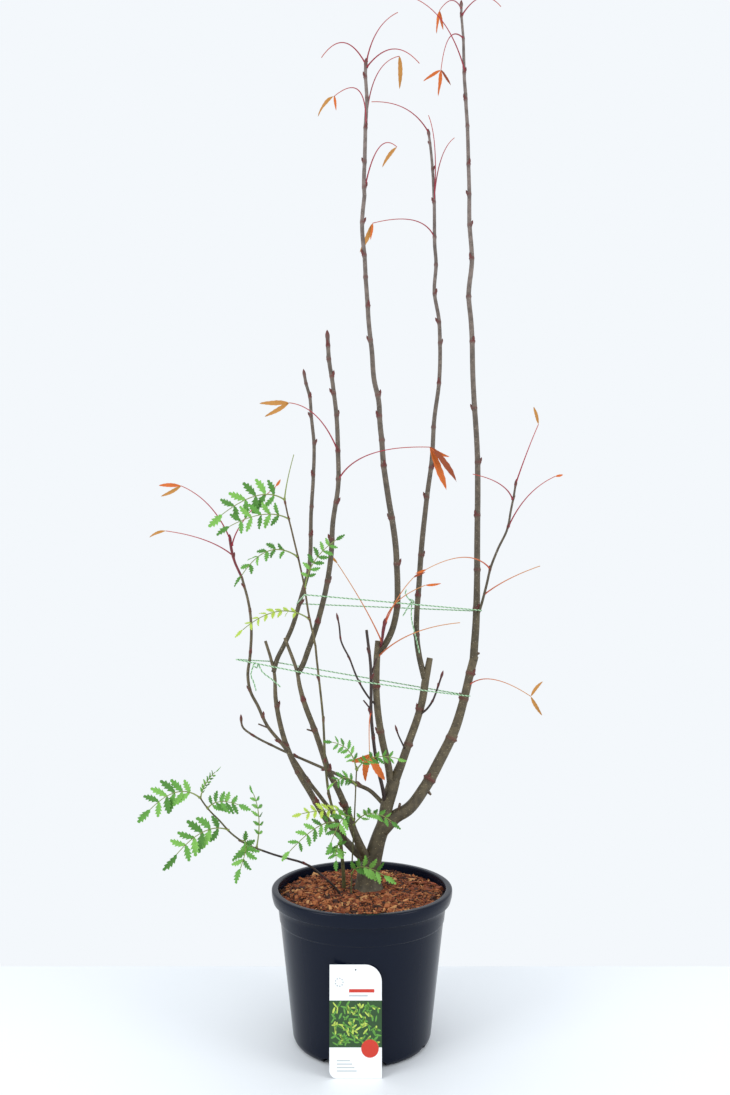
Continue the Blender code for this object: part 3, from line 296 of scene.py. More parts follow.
class Skin:
    """Collects many small bodies and makes one mesh of them, with one value for each point."""

    def __init__(self):
        self.verts, self.faces, self.values, self.slots, self.count = [], [], [], [], 0

    def put(self, verts, faces, value=0.0, slot=0):
        verts = np.asarray(verts, float)
        self.verts.append(verts)
        self.values.append(np.broadcast_to(np.asarray(value, float), (len(verts),)))
        self.faces += [tuple(int(i) + self.count for i in face) for face in faces]
        self.slots += [slot] * len(faces)
        self.count += len(verts)

    def make(self, name, materials, slot, replaces=(), attribute="node", smooth=True):
        name = name.replace(",", "").replace(" ", "_")
        mesh = bpy.data.meshes.new(name)
        mesh.from_pydata(np.concatenate(self.verts).tolist(), [], self.faces)
        made = bpy.data.objects.new(name, mesh)
        bpy.context.scene.collection.objects.link(made)
        for material in materials:
            mesh.materials.append(material)
        mesh.polygons.foreach_set("material_index", self.slots)
        mesh.polygons.foreach_set("use_smooth", [smooth] * len(self.faces))
        layer = mesh.attributes.new(attribute, "FLOAT", "POINT")
        layer.data.foreach_set("value", np.concatenate(self.values))
        mesh.update()
        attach(made, "root")
        if replaces:
            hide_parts(*replaces)
        print(name, len(self.faces), "faces")
        return made


# %% [markdown]
# ## The plant's places
#
# As in the part's own source: each limb's places in cm, its diameters in mm from foot to
# tip, the heights of its nodes and how it ends. The stems were measured on the photo, with
# the depth chosen so that they clear one another.

# %% Limbs
LIMBS = {
    "trunk": dict(
        through=[(1.3, 1, 28), (1.4, 1, 31.5), (2.4, 0.9, 35), (3.4, 0.8, 38.5), (4.6, 0.6, 41.6)],
        across=(52, 45, 35, 31, 29), flare=8
    ),
    "right_bough": dict(
        through=[(4, 0.7, 40), (6.6, 0.5, 42.7), (9, 0.5, 44.1), (12.5, 1, 48.3), (15.8, 2, 53.7),
        (18.9, 2.8, 59.7), (20.8, 3.4, 65.7), (22.2, 4, 70.7), (23.2, 4.3, 74.6)],
        across=(29, 24.5, 22.5, 20, 17.5, 17), nodes=(50, 58, 66, 71)
    ),
    "right_leader": dict(
        through=[(23, 4.2, 73.6), (23.7, 4.6, 82), (23.9, 5, 94), (24.2, 5.2, 107), (24, 5, 119.6),
        (23.3, 4.8, 132.7), (22.9, 4.6, 145), (22.5, 4.5, 150.3), (23.1, 4.4, 157.4), (22.7, 4.3, 166.4),
        (22.6, 4.4, 178.3), (22.1, 5, 194.1)], across=(17, 13, 12, 11, 10.5, 9.5, 8, 7.5), young=True,
        nodes=(84.5, 92.5, 103.8, 115, 126.5, 140.5, 150, 158, 165.3, 172, 178.5, 187, 193)
    ),
    "middle_bough": dict(
        through=[(3.6, 0.6, 39.2), (4.5, 0.4, 42.5), (5, 0.3, 45.2), (6, 0.2, 48.6), (6.4, 0.3, 50)],
        across=(24, 25, 27, 26)
    ),
    "inner_bough": dict(
        through=[(6.1, 0.25, 49), (8.3, 0.8, 54), (9.7, 1.2, 57.9), (11.1, 1.6, 61.9), (12.2, 2, 65.8),
        (12.9, 2.4, 69.9), (13.9, 2.8, 74.3)], across=(23, 17, 16, 15, 16, 12.5), nodes=(57, 64),
        end="cut"
    ),
    "inner_leader": dict(
        through=[(12.7, 2.4, 70.2), (11.7, 2.7, 74.5), (11.2, 3, 78.4), (11.3, 3.4, 83.7),
        (11.7, 3.8, 88.2), (12.2, 4.5, 95.5), (13.6, 5.5, 107.7), (14.7, 6, 116.2), (15.3, 6.5, 124.6),
        (16.3, 7, 132.2), (16.3, 7.3, 146.3), (15.5, 7.6, 152), (15.8, 7.8, 158.4), (15.6, 8, 162.1)],
        across=(12, 11.5, 11, 9.5, 8.5, 8, 7.5), young=True,
        nodes=(79, 87, 95.5, 107.7, 114, 122.5, 132, 140.8, 145.5, 151.5, 158)
    ),
    "centre_bough": dict(
        through=[(5.8, 0.1, 49), (5, -0.5, 53.6), (4.2, -0.8, 56.8), (3.4, -1, 61.5), (3, -1.2, 66.2),
        (3, -1.4, 71.8), (3.3, -1.5, 78)], across=(15, 14, 14, 13.5, 13.5), nodes=(60, 69), end="cut"
    ),
    "centre_leader": dict(
        through=[(3.4, -1.5, 75.6), (4.6, -1.7, 77.4), (5.8, -1.9, 79.8), (6.7, -2.1, 83.2),
        (7.1, -2.4, 89.2), (7, -2.7, 94.2), (5.3, -3.7, 106.2), (4.4, -4.2, 112.9), (3.7, -4.6, 120.1),
        (3.4, -4.8, 125.1), (2.4, -5, 130), (2, -5.2, 136.1), (1.2, -5.5, 143), (0.8, -5.8, 150.5),
        (0.1, -6, 161.2), (0.5, -6.2, 167.1)], across=(13, 12, 12, 11, 10, 9, 8.5, 8), young=True,
        nodes=(85, 93.3, 102.5, 112.9, 118, 123, 127, 138, 145, 150.5, 155, 161.8)
    ),
    "dark_shoot": dict(
        through=[(4.7, 0.3, 45), (4.1, -2, 48.9), (3, -2.9, 53.6), (2.3, -3.5, 58.2), (1.8, -4, 64.1),
        (1.8, -4.4, 68.5), (1.7, -4.8, 73.4), (0.9, -5, 80.3)], across=(8, 7, 6.5, 6, 5.5), tone="dark",
        end="cut", nodes=(52, 59, 64, 71, 76)
    ),
    "dark_twig": dict(
        through=[(3, -1.2, 65), (1.8, -2.5, 66.4), (0.6, -3.7, 68.2), (-1, -5.2, 71.2),
        (-2.5, -6.6, 74.8), (-3.9, -7.8, 78.1), (-4.3, -8.8, 81.4), (-4.9, -9.4, 83.8)],
        across=(4, 3.6, 3.2), tone="dark", end="bud", nodes=(70, 75, 79)
    ),
    "low_branch": dict(
        through=[(4.8, 0.4, 44.6), (3.2, 1.2, 46.4), (1.8, 2.2, 47.5), (-1, 3.4, 48.6), (-4.5, 5, 50),
        (-7.7, 6.4, 51.1), (-13, 8.2, 53.1), (-18.4, 9.8, 55.1), (-22.8, 11, 57.2), (-25.5, 11.8, 59.2),
        (-26, 12.2, 61.7)], across=(9, 7.5, 6, 5, 4.5, 4.2), end="bud",
        nodes=(48.4, 51.1, 53.4, 55.5, 57.4)
    ),
    "inner_twig": dict(
        through=[(11.6, 1.7, 62.8), (13.1, 0.6, 64.2), (14.1, -0.4, 65.8), (15.2, -1.6, 68.9),
        (16.2, -2.6, 72.2)], across=(4.4, 4, 3.6), tone="dark", end="bud", nodes=(66, 69)
    ),
    "inner_spur": dict(
        through=[(8.9, 1, 55.6), (8.2, -0.3, 57.2), (7.2, -0.9, 59.4), (6.6, -1.2, 61.3)],
        across=(3.6, 3), tone="dark", end="bud"
    ),
    "front_bough": dict(
        through=[(1.4, 0.7, 33.4), (-0.4, -0.9, 37.2), (-1.6, -1.8, 40.1), (-3, -2.8, 44.4),
        (-4.7, -3.8, 48.9), (-6.5, -4.6, 52.9), (-7.8, -5.3, 56.7), (-9.3, -6, 60.9), (-10.9, -6.7, 65.6),
        (-12, -7.3, 69.8), (-12.4, -7.6, 72.2), (-13.2, -7.9, 74.7), (-14.9, -8.4, 78.9)],
        across=(19, 16, 13, 12, 11, 10.5, 7, 6), end="cut", nodes=(46, 53, 61, 67)
    ),
    "front_leader": dict(
        through=[(-12.4, -7.6, 72), (-11.6, -7.9, 73.4), (-10.4, -8.2, 76.6), (-9.1, -8.4, 80.2),
        (-7.9, -8.7, 84.3), (-6.9, -9, 88.5), (-6, -9.4, 94.5), (-5.6, -9.8, 101.1), (-4.6, -10.4, 108),
        (-4.6, -10.8, 115.1), (-4.9, -11.2, 121.6), (-5.5, -11.6, 127), (-6.3, -11.8, 132.2),
        (-6.7, -12, 138.2)], across=(10.5, 10.5, 10, 9, 8.5, 8, 7.5), young=True, end="bud",
        nodes=(82, 90, 98, 105, 109.5, 115, 121.8, 126, 129.2, 132.5, 135.2)
    ),
    "left_bough": dict(
        through=[(1.2, 1.2, 33.4), (-1.8, 1.8, 36.1), (-3.8, 2.3, 38), (-5.7, 2.7, 39.8), (-8.1, 3.4, 43),
        (-10.6, 4.2, 46.8), (-13.2, 4.8, 50.7), (-15.1, 5.5, 54.8), (-16.8, 6.2, 59.6),
        (-18.1, 6.9, 65.3), (-18.6, 7.6, 71.2), (-19.2, 7.8, 73.5), (-20.4, 8.2, 77.5)],
        across=(18, 15, 13, 12, 11, 10, 7, 6), end="cut", nodes=(45, 51, 56, 64)
    ),
    "left_leader": dict(
        through=[(-18.6, 7.6, 71), (-17.8, 7.9, 73.6), (-16.2, 8.1, 76.9), (-14.7, 8.4, 80.3),
        (-13.5, 8.7, 84.2), (-12.6, 9, 87.8), (-11.5, 9.4, 92.5), (-10.9, 9.8, 98.9), (-11, 10.2, 105.4),
        (-10.4, 10.6, 113), (-10.7, 11, 122.8), (-11.2, 11.2, 128.3), (-12.8, 11.6, 136.3)],
        across=(10, 9.5, 9, 8, 7.5, 7, 6.5), young=True, end="bud",
        nodes=(85.5, 93, 100, 106, 113, 120, 126, 130, 133)
    ),
    "far_left_stem": dict(
        through=[(-3, 2.1, 37.2), (-4.2, 1.3, 39.9), (-5.8, 0.7, 43.3), (-8, 0.1, 46.4),
        (-11, -0.5, 50.4), (-13.6, -0.9, 54.3), (-16.2, -1.3, 57.7), (-18.7, -1.8, 60.9),
        (-20.7, -2.2, 65.1), (-22.3, -2.6, 68.3), (-22.7, -2.8, 71.1), (-22.2, -3, 75.3),
        (-22, -3.2, 80.2), (-22.7, -3.4, 86.2), (-23.9, -3.6, 90.7)],
        across=(9.5, 8, 7.5, 6.5, 6, 5.5, 5), nodes=(50, 58, 63, 68.5, 76, 84, 89)
    ),
    "olive_stem": dict(
        through=[(-3.6, 0.8, 27.8), (-4, -0.6, 34.5), (-4.5, -2, 39.7), (-5.6, -3.4, 44.2),
        (-6.5, -4.7, 48.2), (-7, -6.4, 54.1), (-7.4, -7.6, 61), (-7.8, -8.4, 66.8), (-8.3, -9.2, 72.3),
        (-8.9, -9.9, 77.6)], across=(8, 6, 5, 4.4, 4.2), tone="olive", nodes=(48, 55, 63, 71)
    ),
    "rim_stem": dict(
        through=[(-3.9, -1.8, 27.8), (-6.2, -2.9, 30.6), (-8.1, -3.7, 32.5), (-9.7, -4.3, 34.1),
        (-12, -5.2, 35.4), (-14.2, -6, 36.2), (-16.7, -6.8, 37.1), (-19.15, -7.6, 38.2)],
        across=(4.6, 4.2, 3.8), tone="dark", nodes=(32, 35, 36.6)
    ),
}
SPURS = [
    ("right_bough", (7, 0.5, 43), (0.6, -1.2, 2.6), 6, 5),
    ("right_bough", (13, 1, 48), (0.9, -0.3, -1), 9, 4),
    ("right_leader", (23.3, 4.3, 75), (0.9, -0.4, 0.2), 9, 4),
    ("dark_shoot", (1.8, -4.6, 71.5), (1.1, 0.4, 3.2), 4.2, 3),
    ("dark_shoot", (1.8, -4, 64.6), (-1.5, -0.6, 1.9), 3.4, 3),
    ("low_branch", (-19, 10, 55.3), (-0.8, -1.4, 0.6), 3.4, 3),
    ("front_bough", (-9.2, -6, 60.6), (-1.5, -0.5, 0.5), 4, 3),
    ("far_left_stem", (-18.4, -1.7, 60.6), (-2.2, -0.7, 1), 3.6, 3),
]

# %% [markdown]
# ## Stems with nodes and buds
#
# Leaves stand round a rowan's stem at steps of 144 degrees, two turns to five leaves, so the
# buds that they leave behind do too. Each node is a low collar, higher on its bud's side,
# with a crescent scar under a pointed bud pressed to the stem.

# %% Stems
TURN = math.radians(144)
NODE_LENGTH = 3.2 * MM
FLARE_HEIGHT = 9 * MM
NODE_HEIGHT = 0.34
NODE_BEND = 1.3 * MM
BUD_LENGTH = 8.5 * MM
TIP_BUD = 16 * MM


def bud(skin, root, direction, length, radius):
    """A pointed bud: widest a third of the way up."""
    t = np.array([0, 0.12, 0.33, 0.6, 0.85, 1.0])
    wide = np.array([0.62, 0.9, 1.0, 0.78, 0.36, 0.06])
    line = np.asarray(root)[None] + t[:, None] * np.asarray(direction)[None] * length
    verts, faces = tube(line, wide * radius, 8)
    skin.put(verts, faces, 0.9)


def stem(skin, spec, seed, facets=14, spacing=3 * MM):
    """Adds one stem's bark, its nodes and its buds."""
    rng = np.random.default_rng(seed)
    points, run = smooth_path(np.array(spec["through"]) * CM, spacing)
    length = run[-1]
    across = np.array(spec["across"]) * MM
    radius = np.interp(run / length, np.linspace(0, 1, len(across)), across) / 2
    if "flare" in spec:
        radius = radius + spec["flare"] * MM * np.exp(-run / FLARE_HEIGHT)
    if spec.get("nodes"):
        at_nodes = [run[int(np.argmin(np.abs(points[:, 2] - z * CM)))] for z in spec["nodes"]]
        sway = NODE_BEND * np.array([(-1) ** k for k in range(len(at_nodes))])
        bend = np.interp(run, at_nodes, sway) * np.clip(np.minimum(run, length - run) / 0.03, 0, 1)
        points = points + bend[:, None] * np.array([math.cos(seed), math.sin(seed) * 0.7, 0])
    ends_in_bud = spec.get("end") == "bud"
    if ends_in_bud:
        share = np.clip((length - run) / TIP_BUD, 0, 1)
        swell = 4.4 if radius[-1] < 2.6 * MM else 2.9
        radius = radius * (0.12 + swell * share - (swell - 0.9) * share**2)
    ahead, sides, ups = ring_axes(points)
    turn = 2 * np.pi * np.arange(facets) / facets
    wave = 0
    for k in (1, 2, 3):
        height, shift, pitch = rng.uniform(0.006, 0.016), rng.uniform(0, 6), rng.uniform(8, 60)
        wave = wave + height * np.sin(k * turn[None] + shift + run[:, None] * pitch)
    relief = 1 + wave
    marks = np.zeros((len(points), facets))
    for index, z in enumerate(spec.get("nodes", ())):
        k = int(np.argmin(np.abs(points[:, 2] - z * CM)))
        facing = index * TURN + seed
        near = np.exp(-(((run - run[k]) / NODE_LENGTH) ** 2))[:, None]
        side = 0.5 + 0.5 * np.cos(turn - facing)[None]
        relief = relief + NODE_HEIGHT * near * (0.35 + side**2)
        marks = np.maximum(marks, near * (0.5 + 0.5 * side**2))
        out = math.cos(facing) * sides[k] + math.sin(facing) * ups[k]
        size = BUD_LENGTH * min(1.0, radius[k] / (4 * MM)) + 2 * MM
        lean = ahead[k] * 0.93 + out * 0.36
        bud(skin, points[k] + out * radius[k] * 0.92 + ahead[k] * 1 * MM, lean, size, 0.27 * size)
    if ends_in_bud:
        marks = np.maximum(marks, np.exp(-(((length - run) / TIP_BUD) ** 2))[:, None] * 0.95)
    verts, faces = tube(points, radius[:, None] * relief, facets)
    marks = np.concatenate([marks.ravel(), marks[:1, 0], marks[-1:, 0]])
    skin.put(verts, faces, marks)
    return points, radius


BARKS = {"dark": BARK_DARK, "olive": BARK_OLIVE, "red": BARK_RED}
for number, (name, spec) in enumerate(LIMBS.items()):
    skin = Skin()
    thick = max(spec["across"]) > 12
    points, radius = stem(skin, spec, number, facets=20 if thick else 12)
    for owner, at, reach, foot, tip in SPURS:
        if owner == name:
            at, reach = np.array(at) * CM, np.array(reach) * CM
            line = at + np.linspace(0, 1, 5)[:, None] * reach
            verts, faces = tube(line, np.linspace(foot, tip, 5) * MM / 2, 8)
            skin.put(verts, faces, 0.2)
    if spec.get("end") == "cut":
        ahead = points[-1] - points[-2]
        ahead /= np.linalg.norm(ahead)
        disc = np.array([points[-1] - ahead * MM, points[-1] + ahead * 0.2 * MM])
        verts, faces = tube(disc, np.full(2, radius[-1] * 0.9), 16)
        skin.put(verts, faces, 0.0, slot=1)
    main = BARKS.get(spec.get("tone"), BARK_YOUNG if spec.get("young") else BARK_OLD)
    skin.make(f"{name} bark", [main, CUT_WOOD], "bark", replaces=(name,))

# %% [markdown]
# ## Leaf stalks, leaflets and withered leaves
#
# Most leaves have dropped their leaflets and kept the long red stalk, which arches over.
# A few still carry withered leaflets. The green shoots have whole leaves: pairs of leaflets
# along a stalk and one at its end. A leaflet is a strip on each side of its midrib, cut to
# teeth along its outer two thirds and folded a little along the rib.

# %% Masses
def stalk(at, lead, end, **leaf):
    """A stalk leaves its place towards the lead and stops at the end, all in cm."""
    return dict(at=at, lead=lead, end=end, **leaf)


MASSES = {
    "right_tip": dict(
        stem=dict(
            through=[(22.08, 5, 194), (21.8, 5, 201), (21.5, 5.2, 209), (21.3, 5.3, 215)],
            across=(7.5, 6.5, 5.5, 5), end="bud", nodes=(198.9, 206.4, 211.5)
        ),
        stalks=[
            stalk((22, 4.9, 198.9), (-3.7, -3, 11.3), (-11.5, -5.2, 13)),
            stalk((21.6, 5, 206.4), (-3.7, -2, 2.3), (-5, -3, -8.8),
                  dried=[(-3.6, 0.2, -1.8), (-1.1, -0.8, -4.8), (2.3, 0.3, -2.6)]),
            stalk((21.4, 5.2, 211.5), (4.5, 1.5, 8), (9, 4, 4.5)),
            stalk((21.3, 5.2, 213), (-1.5, 4, 6.5), (-4, 8.5, 5),
                  dried=[(-1.2, 1, -4), (0.9, 1.6, -3.4)]),
        ],
    ),
    "centre_tip": dict(
        stem=dict(
            through=[(0.5, -6.2, 167), (0.4, -6.4, 173.1), (0.8, -6.6, 180.8), (0.8, -7, 195)],
            across=(8, 7.5, 7, 6.5), end="bud", nodes=(168.8, 174, 180.8, 187, 191)
        ),
        stalks=[
            stalk((0.8, -7, 193.6), (-4.3, -1.5, 7.4), (-8.8, -3, -0.3)),
            stalk((0.9, -7, 194.2), (1.5, 1, 8.5), (6.4, 2.5, 11.8)),
            stalk((0.9, -7, 193), (5.3, -1, 6.6), (10.5, -2, -0.3)),
            stalk((0.8, -6.6, 180.8), (0.6, 0.6, 13.9), (6.8, 2.6, 16.3), dried=[(0.2, 0.3, -5.8)]),
            stalk((0.8, -6.7, 180.6), (0.3, -2.9, 10.6), (-6.2, -4.2, 4.4),
                  dried=[(-3.5, -0.4, -3.1), (0.2, -0.6, -2.6)]),
            stalk((0.6, -6.2, 168.8), (2.4, -1.3, 11.4), (6.3, -2.8, 6.9), dried=[(-2.9, 0.4, -3.4)]),
        ],
    ),
    "inner_tip": dict(
        stem=dict(
            through=[(15.6, 8, 162), (15.5, 8.2, 171.9), (15.2, 8.4, 179.9), (14.3, 8.8, 188.4)],
            across=(7.5, 7, 6, 5), end="bud", nodes=(164, 172, 179, 185)
        ),
        stalks=[
            stalk((14.4, 8.8, 187.6), (-4, -1.8, 6.2), (-12.4, -4.3, 4.5)),
            stalk((15.5, 8.2, 172), (0.9, -1.6, 12.8), (-1.2, -0.9, 18.6)),
            stalk((15.5, 8.3, 172), (0.9, 1, 11.9), (4.8, 3.4, 15.8)),
            stalk((15.6, 8, 163.9), (-2.5, -1.5, 5.5), (-13.4, -5.4, 1.1),
                  dried=[(-2.5, -0.2, -5.6), (-0.5, -0.8, -3.2)]),
        ],
    ),
    "side_twig": dict(
        stem=dict(
            through=[(23.7, 4.6, 82), (24.8, 3, 86.4), (25.5, 2, 89.6), (26.1, 1.2, 92.5),
            (27.5, 0, 96.3), (29.5, -1.6, 100.9), (29.9, -2.2, 103.9), (30.9, -3.6, 110.4)],
            across=(5.6, 5, 4.4, 4), end="bud", nodes=(92.5, 101, 106.5)
        ),
        stalks=[
            stalk((25, 2.7, 87.2), (4, -2.2, 3.4), (10.7, -5, 5.8), pale=0.5),
            stalk((26.1, 1.2, 92.6), (-4.4, -3.2, 4.5), (-13.5, -7.2, -0.4), dried=[(-1.9, -0.4, -0.9)],
                  pale=0.5),
            stalk((29.5, -1.6, 100.9), (3.7, 1.6, 7.7), (10.3, 3.6, 10.7), dried=[(1.8, 0.1, 0.4)]),
            stalk((30.2, -2.8, 106.4), (-1.6, -2.2, 3.4), (-8.4, -4.2, 4.5)),
            stalk((30.7, -3.4, 109.2), (2.1, -1.4, 6.6), (4.3, -2.4, 11.8), dried=[(-1.1, 0.3, 3.8)]),
        ],
    ),
    "low_right_leaf": dict(
        stalks=[
            stalk((21.3, 3.7, 68), (3.6, -2.6, 4.8), (12.2, -6.7, -0.9),
                  dried=[(2.5, 0.3, 3.1), (2, -0.3, -4)], pale=0.4),
        ],
    ),
    "front_low_leaf": dict(
        stalks=[
            stalk((-4.6, -10.4, 109.2), (3.5, -3.6, 6.4), (17.3, -6.4, 5.5),
                  dried=[(3.7, 0.2, -1.9), (5.6, -0.3, -5.6), (4, 0.9, -7.6)]),
        ],
    ),
    "front_high_leaf": dict(
        stalks=[
            stalk((-4.6, -10.8, 114.8), (-3.4, -2.2, 8.4), (-9.1, -4.2, 8.6),
                  dried=[(-5.9, 0.2, 0.4), (-4.6, -0.4, -2.4)]),
        ],
    ),
    "far_left_tip": dict(
        stem=dict(
            through=[(-23.9, -3.6, 90.6), (-25.4, -4, 94.5), (-25.9, -4.2, 96.7), (-26.3, -4.4, 99.3)],
            across=(5, 4.8, 5.6, 5.5), end="bud", nodes=(94.8,), tone="red"
        ),
        stalks=[
            stalk((-26.1, -4.4, 98), (-3.2, -0.6, 8), (-9.6, -1.6, 10.7),
                  dried=[(-5, 0.4, 0.2), (-3.9, -0.6, -2.1)]),
            stalk((-25.4, -4, 94.8), (-4.8, 2, 4), (-14.5, 4, 5.4), dried=[(-3.5, -0.2, -1.1)]),
            stalk((-25.8, -4.4, 97), (1.2, -1.8, 5), (9, -3.6, 11.4), dried=[(0.9, -0.2, 1.3)]),
        ],
    ),
    "fork_leaves": dict(
        stem=dict(
            through=[(3.6, -1.7, 76.6), (4, -2.9, 78.2), (4.2, -3.2, 80), (4.8, -3.4, 82.8)],
            across=(4.5, 5, 7, 5), end="bud", tone="red"
        ),
        stalks=[
            stalk((4.6, -3.4, 81.6), (0.6, -1, 4.6), (7.8, -3, 7.5), dried=[(3.1, -0.3, 0.3)], pale=0.5),
            stalk((4.3, -3.3, 80.6), (2.3, -1.6, 6.4), (5.8, -3, 10), dried=[(2.4, 0.3, 1.3)], pale=0.5),
            stalk((3.9, -2.8, 78), (-3, -2.2, 6.8), (-8.6, -5.2, 15.2), dried=[(-2, 0.3, 2.7)], pale=0.6),
        ],
    ),
    "fork_low_leaf": dict(
        stalks=[
            stalk((3.2, -1.6, 74.8), (5.4, -4.2, 6), (15.9, -5.6, 7), pale=0.6),
        ],
    ),
    "orange_leaf": dict(
        stalks=[
            stalk((1.8, -4, 64), (-0.6, -1.6, -1), (-0.3, -1.4, -7.9),
                  dried=[(-3.8, 0.6, -1.9), (-1.3, -0.2, -5.3), (3.4, 0.3, -5.3)], broad=1.5, pale=0.5),
        ],
    ),
    "olive_leaves": dict(
        stem=dict(
            through=[(-8.91, -9.91, 77.5), (-10.1, -10.1, 82.6), (-11, -10.6, 89.1), (-12.3, -11.2, 94.5),
            (-13.7, -12.1, 101.1), (-14.8, -12.7, 105.8)], across=(4.2, 3.8, 3.4, 3), end="bud",
            nodes=(82.6, 88.4, 94.5, 101.6), tone="olive"
        ),
        stalks=[
            stalk((-14.6, -12.6, 105.2), (-4.2, -1.5, 3), (-11.4, -3.5, -3), pairs=5, blade=3.5),
            stalk((-13.8, -12.1, 101.6), (-4, -3.2, 2.2), (-10.5, -6.2, -1.8), pairs=5, blade=2.9),
            stalk((-12.3, -11.2, 94.5), (-5.6, -1.2, 3.9), (-10.2, -3.2, -3.6), pairs=5, blade=2.7,
                  roll=50),
            stalk((-10.1, -10.1, 82.6), (-5.5, -1.8, 3.9), (-12.2, -3.8, -1.9), pairs=7, blade=1.9,
                  roll=55, tint=3),
            stalk((-10.9, -10.5, 88.4), (0.7, -2.8, 5.5), (6, -4.8, 9), pairs=6, blade=2.2, roll=25),
            stalk((-14.7, -12.7, 105.4), (0.3, 0.4, 3.5), (1.7, 0.5, 8.6), bare=True),
        ],
    ),
    "green_shoot": dict(
        stem=dict(
            through=[(-2.15, -2.25, 27.8), (-1.9, -2.9, 35.2), (-1.6, -3.9, 41.5), (-1.3, -5.1, 47.4),
            (-1, -6.3, 54)], across=(3.2, 3, 2.8, 2.6), nodes=(33, 43, 50), tone="olive"
        ),
        stalks=[
            stalk((-1.1, -6.2, 53.4), (-0.6, -1, 4.6), (-4.6, -2.6, 5.6), pairs=5, blade=1.9, roll=35),
            stalk((-1, -6.2, 53.2), (2, -3.4, 4.2), (7.6, -5.4, 3.2), pairs=6, blade=1.9, roll=30),
            stalk((-1.2, -5.7, 50.2), (-1.6, -1.4, 2.9), (-4.2, -2.8, 1), pairs=4, blade=1.8, roll=40),
            stalk((-1.6, -4.3, 43.2), (-1.6, -2.6, 3.6), (-4.2, -5.4, -2.8), pairs=5, blade=2.6, roll=20),
            stalk((-1.6, -4, 42.2), (2.8, -2.2, 4.6), (7.2, -4.6, 1.8), pairs=6, blade=2.2, roll=35),
            stalk((-2, -2.6, 32.4), (1.2, -3, 3.6), (6.2, -5.4, 1.2), pairs=5, blade=2.8, roll=15),
        ],
    ),
    "low_left_leaves": dict(
        stalks=[
            stalk((-3, -2.8, 44.4), (-2.8, -5.4, 2.2), (-8.4, -7.6, 1.4), pairs=6, blade=1.9, roll=50,
                  tint=3),
        ],
    ),
    "low_front_leaf": dict(
        stalks=[
            stalk((-4.3, -1.4, 37.4), (-0.8, -4, 2.2), (-0.6, -7.8, -0.6), pairs=5, blade=2.2, roll=15),
        ],
    ),
    "low_green_leaf": dict(
        stalks=[
            stalk((-5.2, -2.9, 42.4), (-3, -3, 1.4), (-8.6, -5.2, -4.2), pairs=5, blade=2.4, roll=10),
        ],
    ),
    "rim_leaves": dict(
        stem=dict(
            through=[(-19.1, -7.6, 38.2), (-21.9, -8.2, 39.4), (-24.5, -8.8, 41.4), (-26.9, -9.4, 44.1),
            (-29.5, -10, 46.9), (-30.8, -10.4, 49)], across=(3.8, 3.4, 3), nodes=(40.2, 42.4, 46.7),
            tone="olive"
        ),
        stalks=[
            stalk((-30.7, -10.4, 48.8), (-4, -0.6, 3.3), (-9, -1.6, -1.8), pairs=5, blade=3.5),
            stalk((-30.6, -10.3, 48.6), (0.2, 0.9, 2.6), (2.4, 2.2, 4.6), pairs=6, blade=1.5, roll=60),
            stalk((-29.3, -10, 46.7), (1.9, -2, 2.6), (6.4, -4, 1.6), pairs=5, blade=2.7, roll=15),
            stalk((-25.4, -9, 42.4), (-3.9, -3, 2.5), (-8.6, -6.4, -2.8), pairs=5, blade=3.7),
            stalk((-23, -8.4, 40.2), (2.2, -2.4, 1.4), (0.6, -6, -3.4), pairs=5, blade=3, roll=20),
            stalk((-20.2, -7.8, 38.8), (1, 1.6, 5.6), (-1, 2.9, 9.6), pairs=5, blade=1.9, roll=60),
        ],
    ),
}
TEETH = 5


# %% Leaflets
def blade_axes(root, tip, face):
    """The unit vectors of a blade: along it, across it and out of its upper side."""
    length = np.linalg.norm(tip - root)
    along = (tip - root) / length
    across = np.cross(face, along)
    across /= np.linalg.norm(across)
    return length, along, across, np.cross(along, across)


def leaflet(skin, root, tip, wide, face, rng, fold=0.25, droop=0.12, curl=0.0, teeth=TEETH, notch=0.5):
    """A toothed leaflet: three rows of points from foot to tip, with a point a step on each side."""
    length, along, across, out = blade_axes(np.asarray(root), np.asarray(tip), np.asarray(face))
    steps = 2 * teeth
    t = np.linspace(0, 1, steps + 1)
    half = wide / 2 * np.sin(np.pi * t**0.85) ** 0.7
    tooth = np.where(np.arange(steps + 1) % 2 == 1, 1.0, 1 - notch)
    tooth = np.where(t < 0.15, 0.9, tooth)
    rib = np.asarray(root) + np.outer(t * length, along) + np.outer(-droop * length * t**2, out)
    swing = rng.uniform(-0.06, 0.06) * length * np.sin(np.pi * t)
    rib += np.outer(swing, across)
    rows = [rib]
    for way in (-1, 1):
        edge = rib + np.outer(way * half * tooth * math.cos(curl), across)
        edge += np.outer(half * (fold - math.sin(curl)) + 0.02 * length * np.sin(9 * t + way), out)
        edge += np.outer((tooth - 1 + notch) * half * 0.9, along)
        rows.append(edge)
    verts = np.concatenate(rows)
    n = steps + 1
    faces = [(k, n + k, n + k + 1, k + 1) for k in range(steps)]
    faces += [(k, k + 1, 2 * n + k + 1, 2 * n + k) for k in range(steps)]
    skin.put(verts, faces)


def point_on(line, share):
    places = np.linspace(0, 1, len(line))
    return np.array([np.interp(share, places, line[:, i]) for i in range(3)])


def turn_about(vector, axis, degrees):
    angle = math.radians(degrees)
    axis = axis / np.linalg.norm(axis)
    return (
        vector * math.cos(angle)
        + np.cross(axis, vector) * math.sin(angle)
        + axis * axis.dot(vector) * (1 - math.cos(angle))
    )


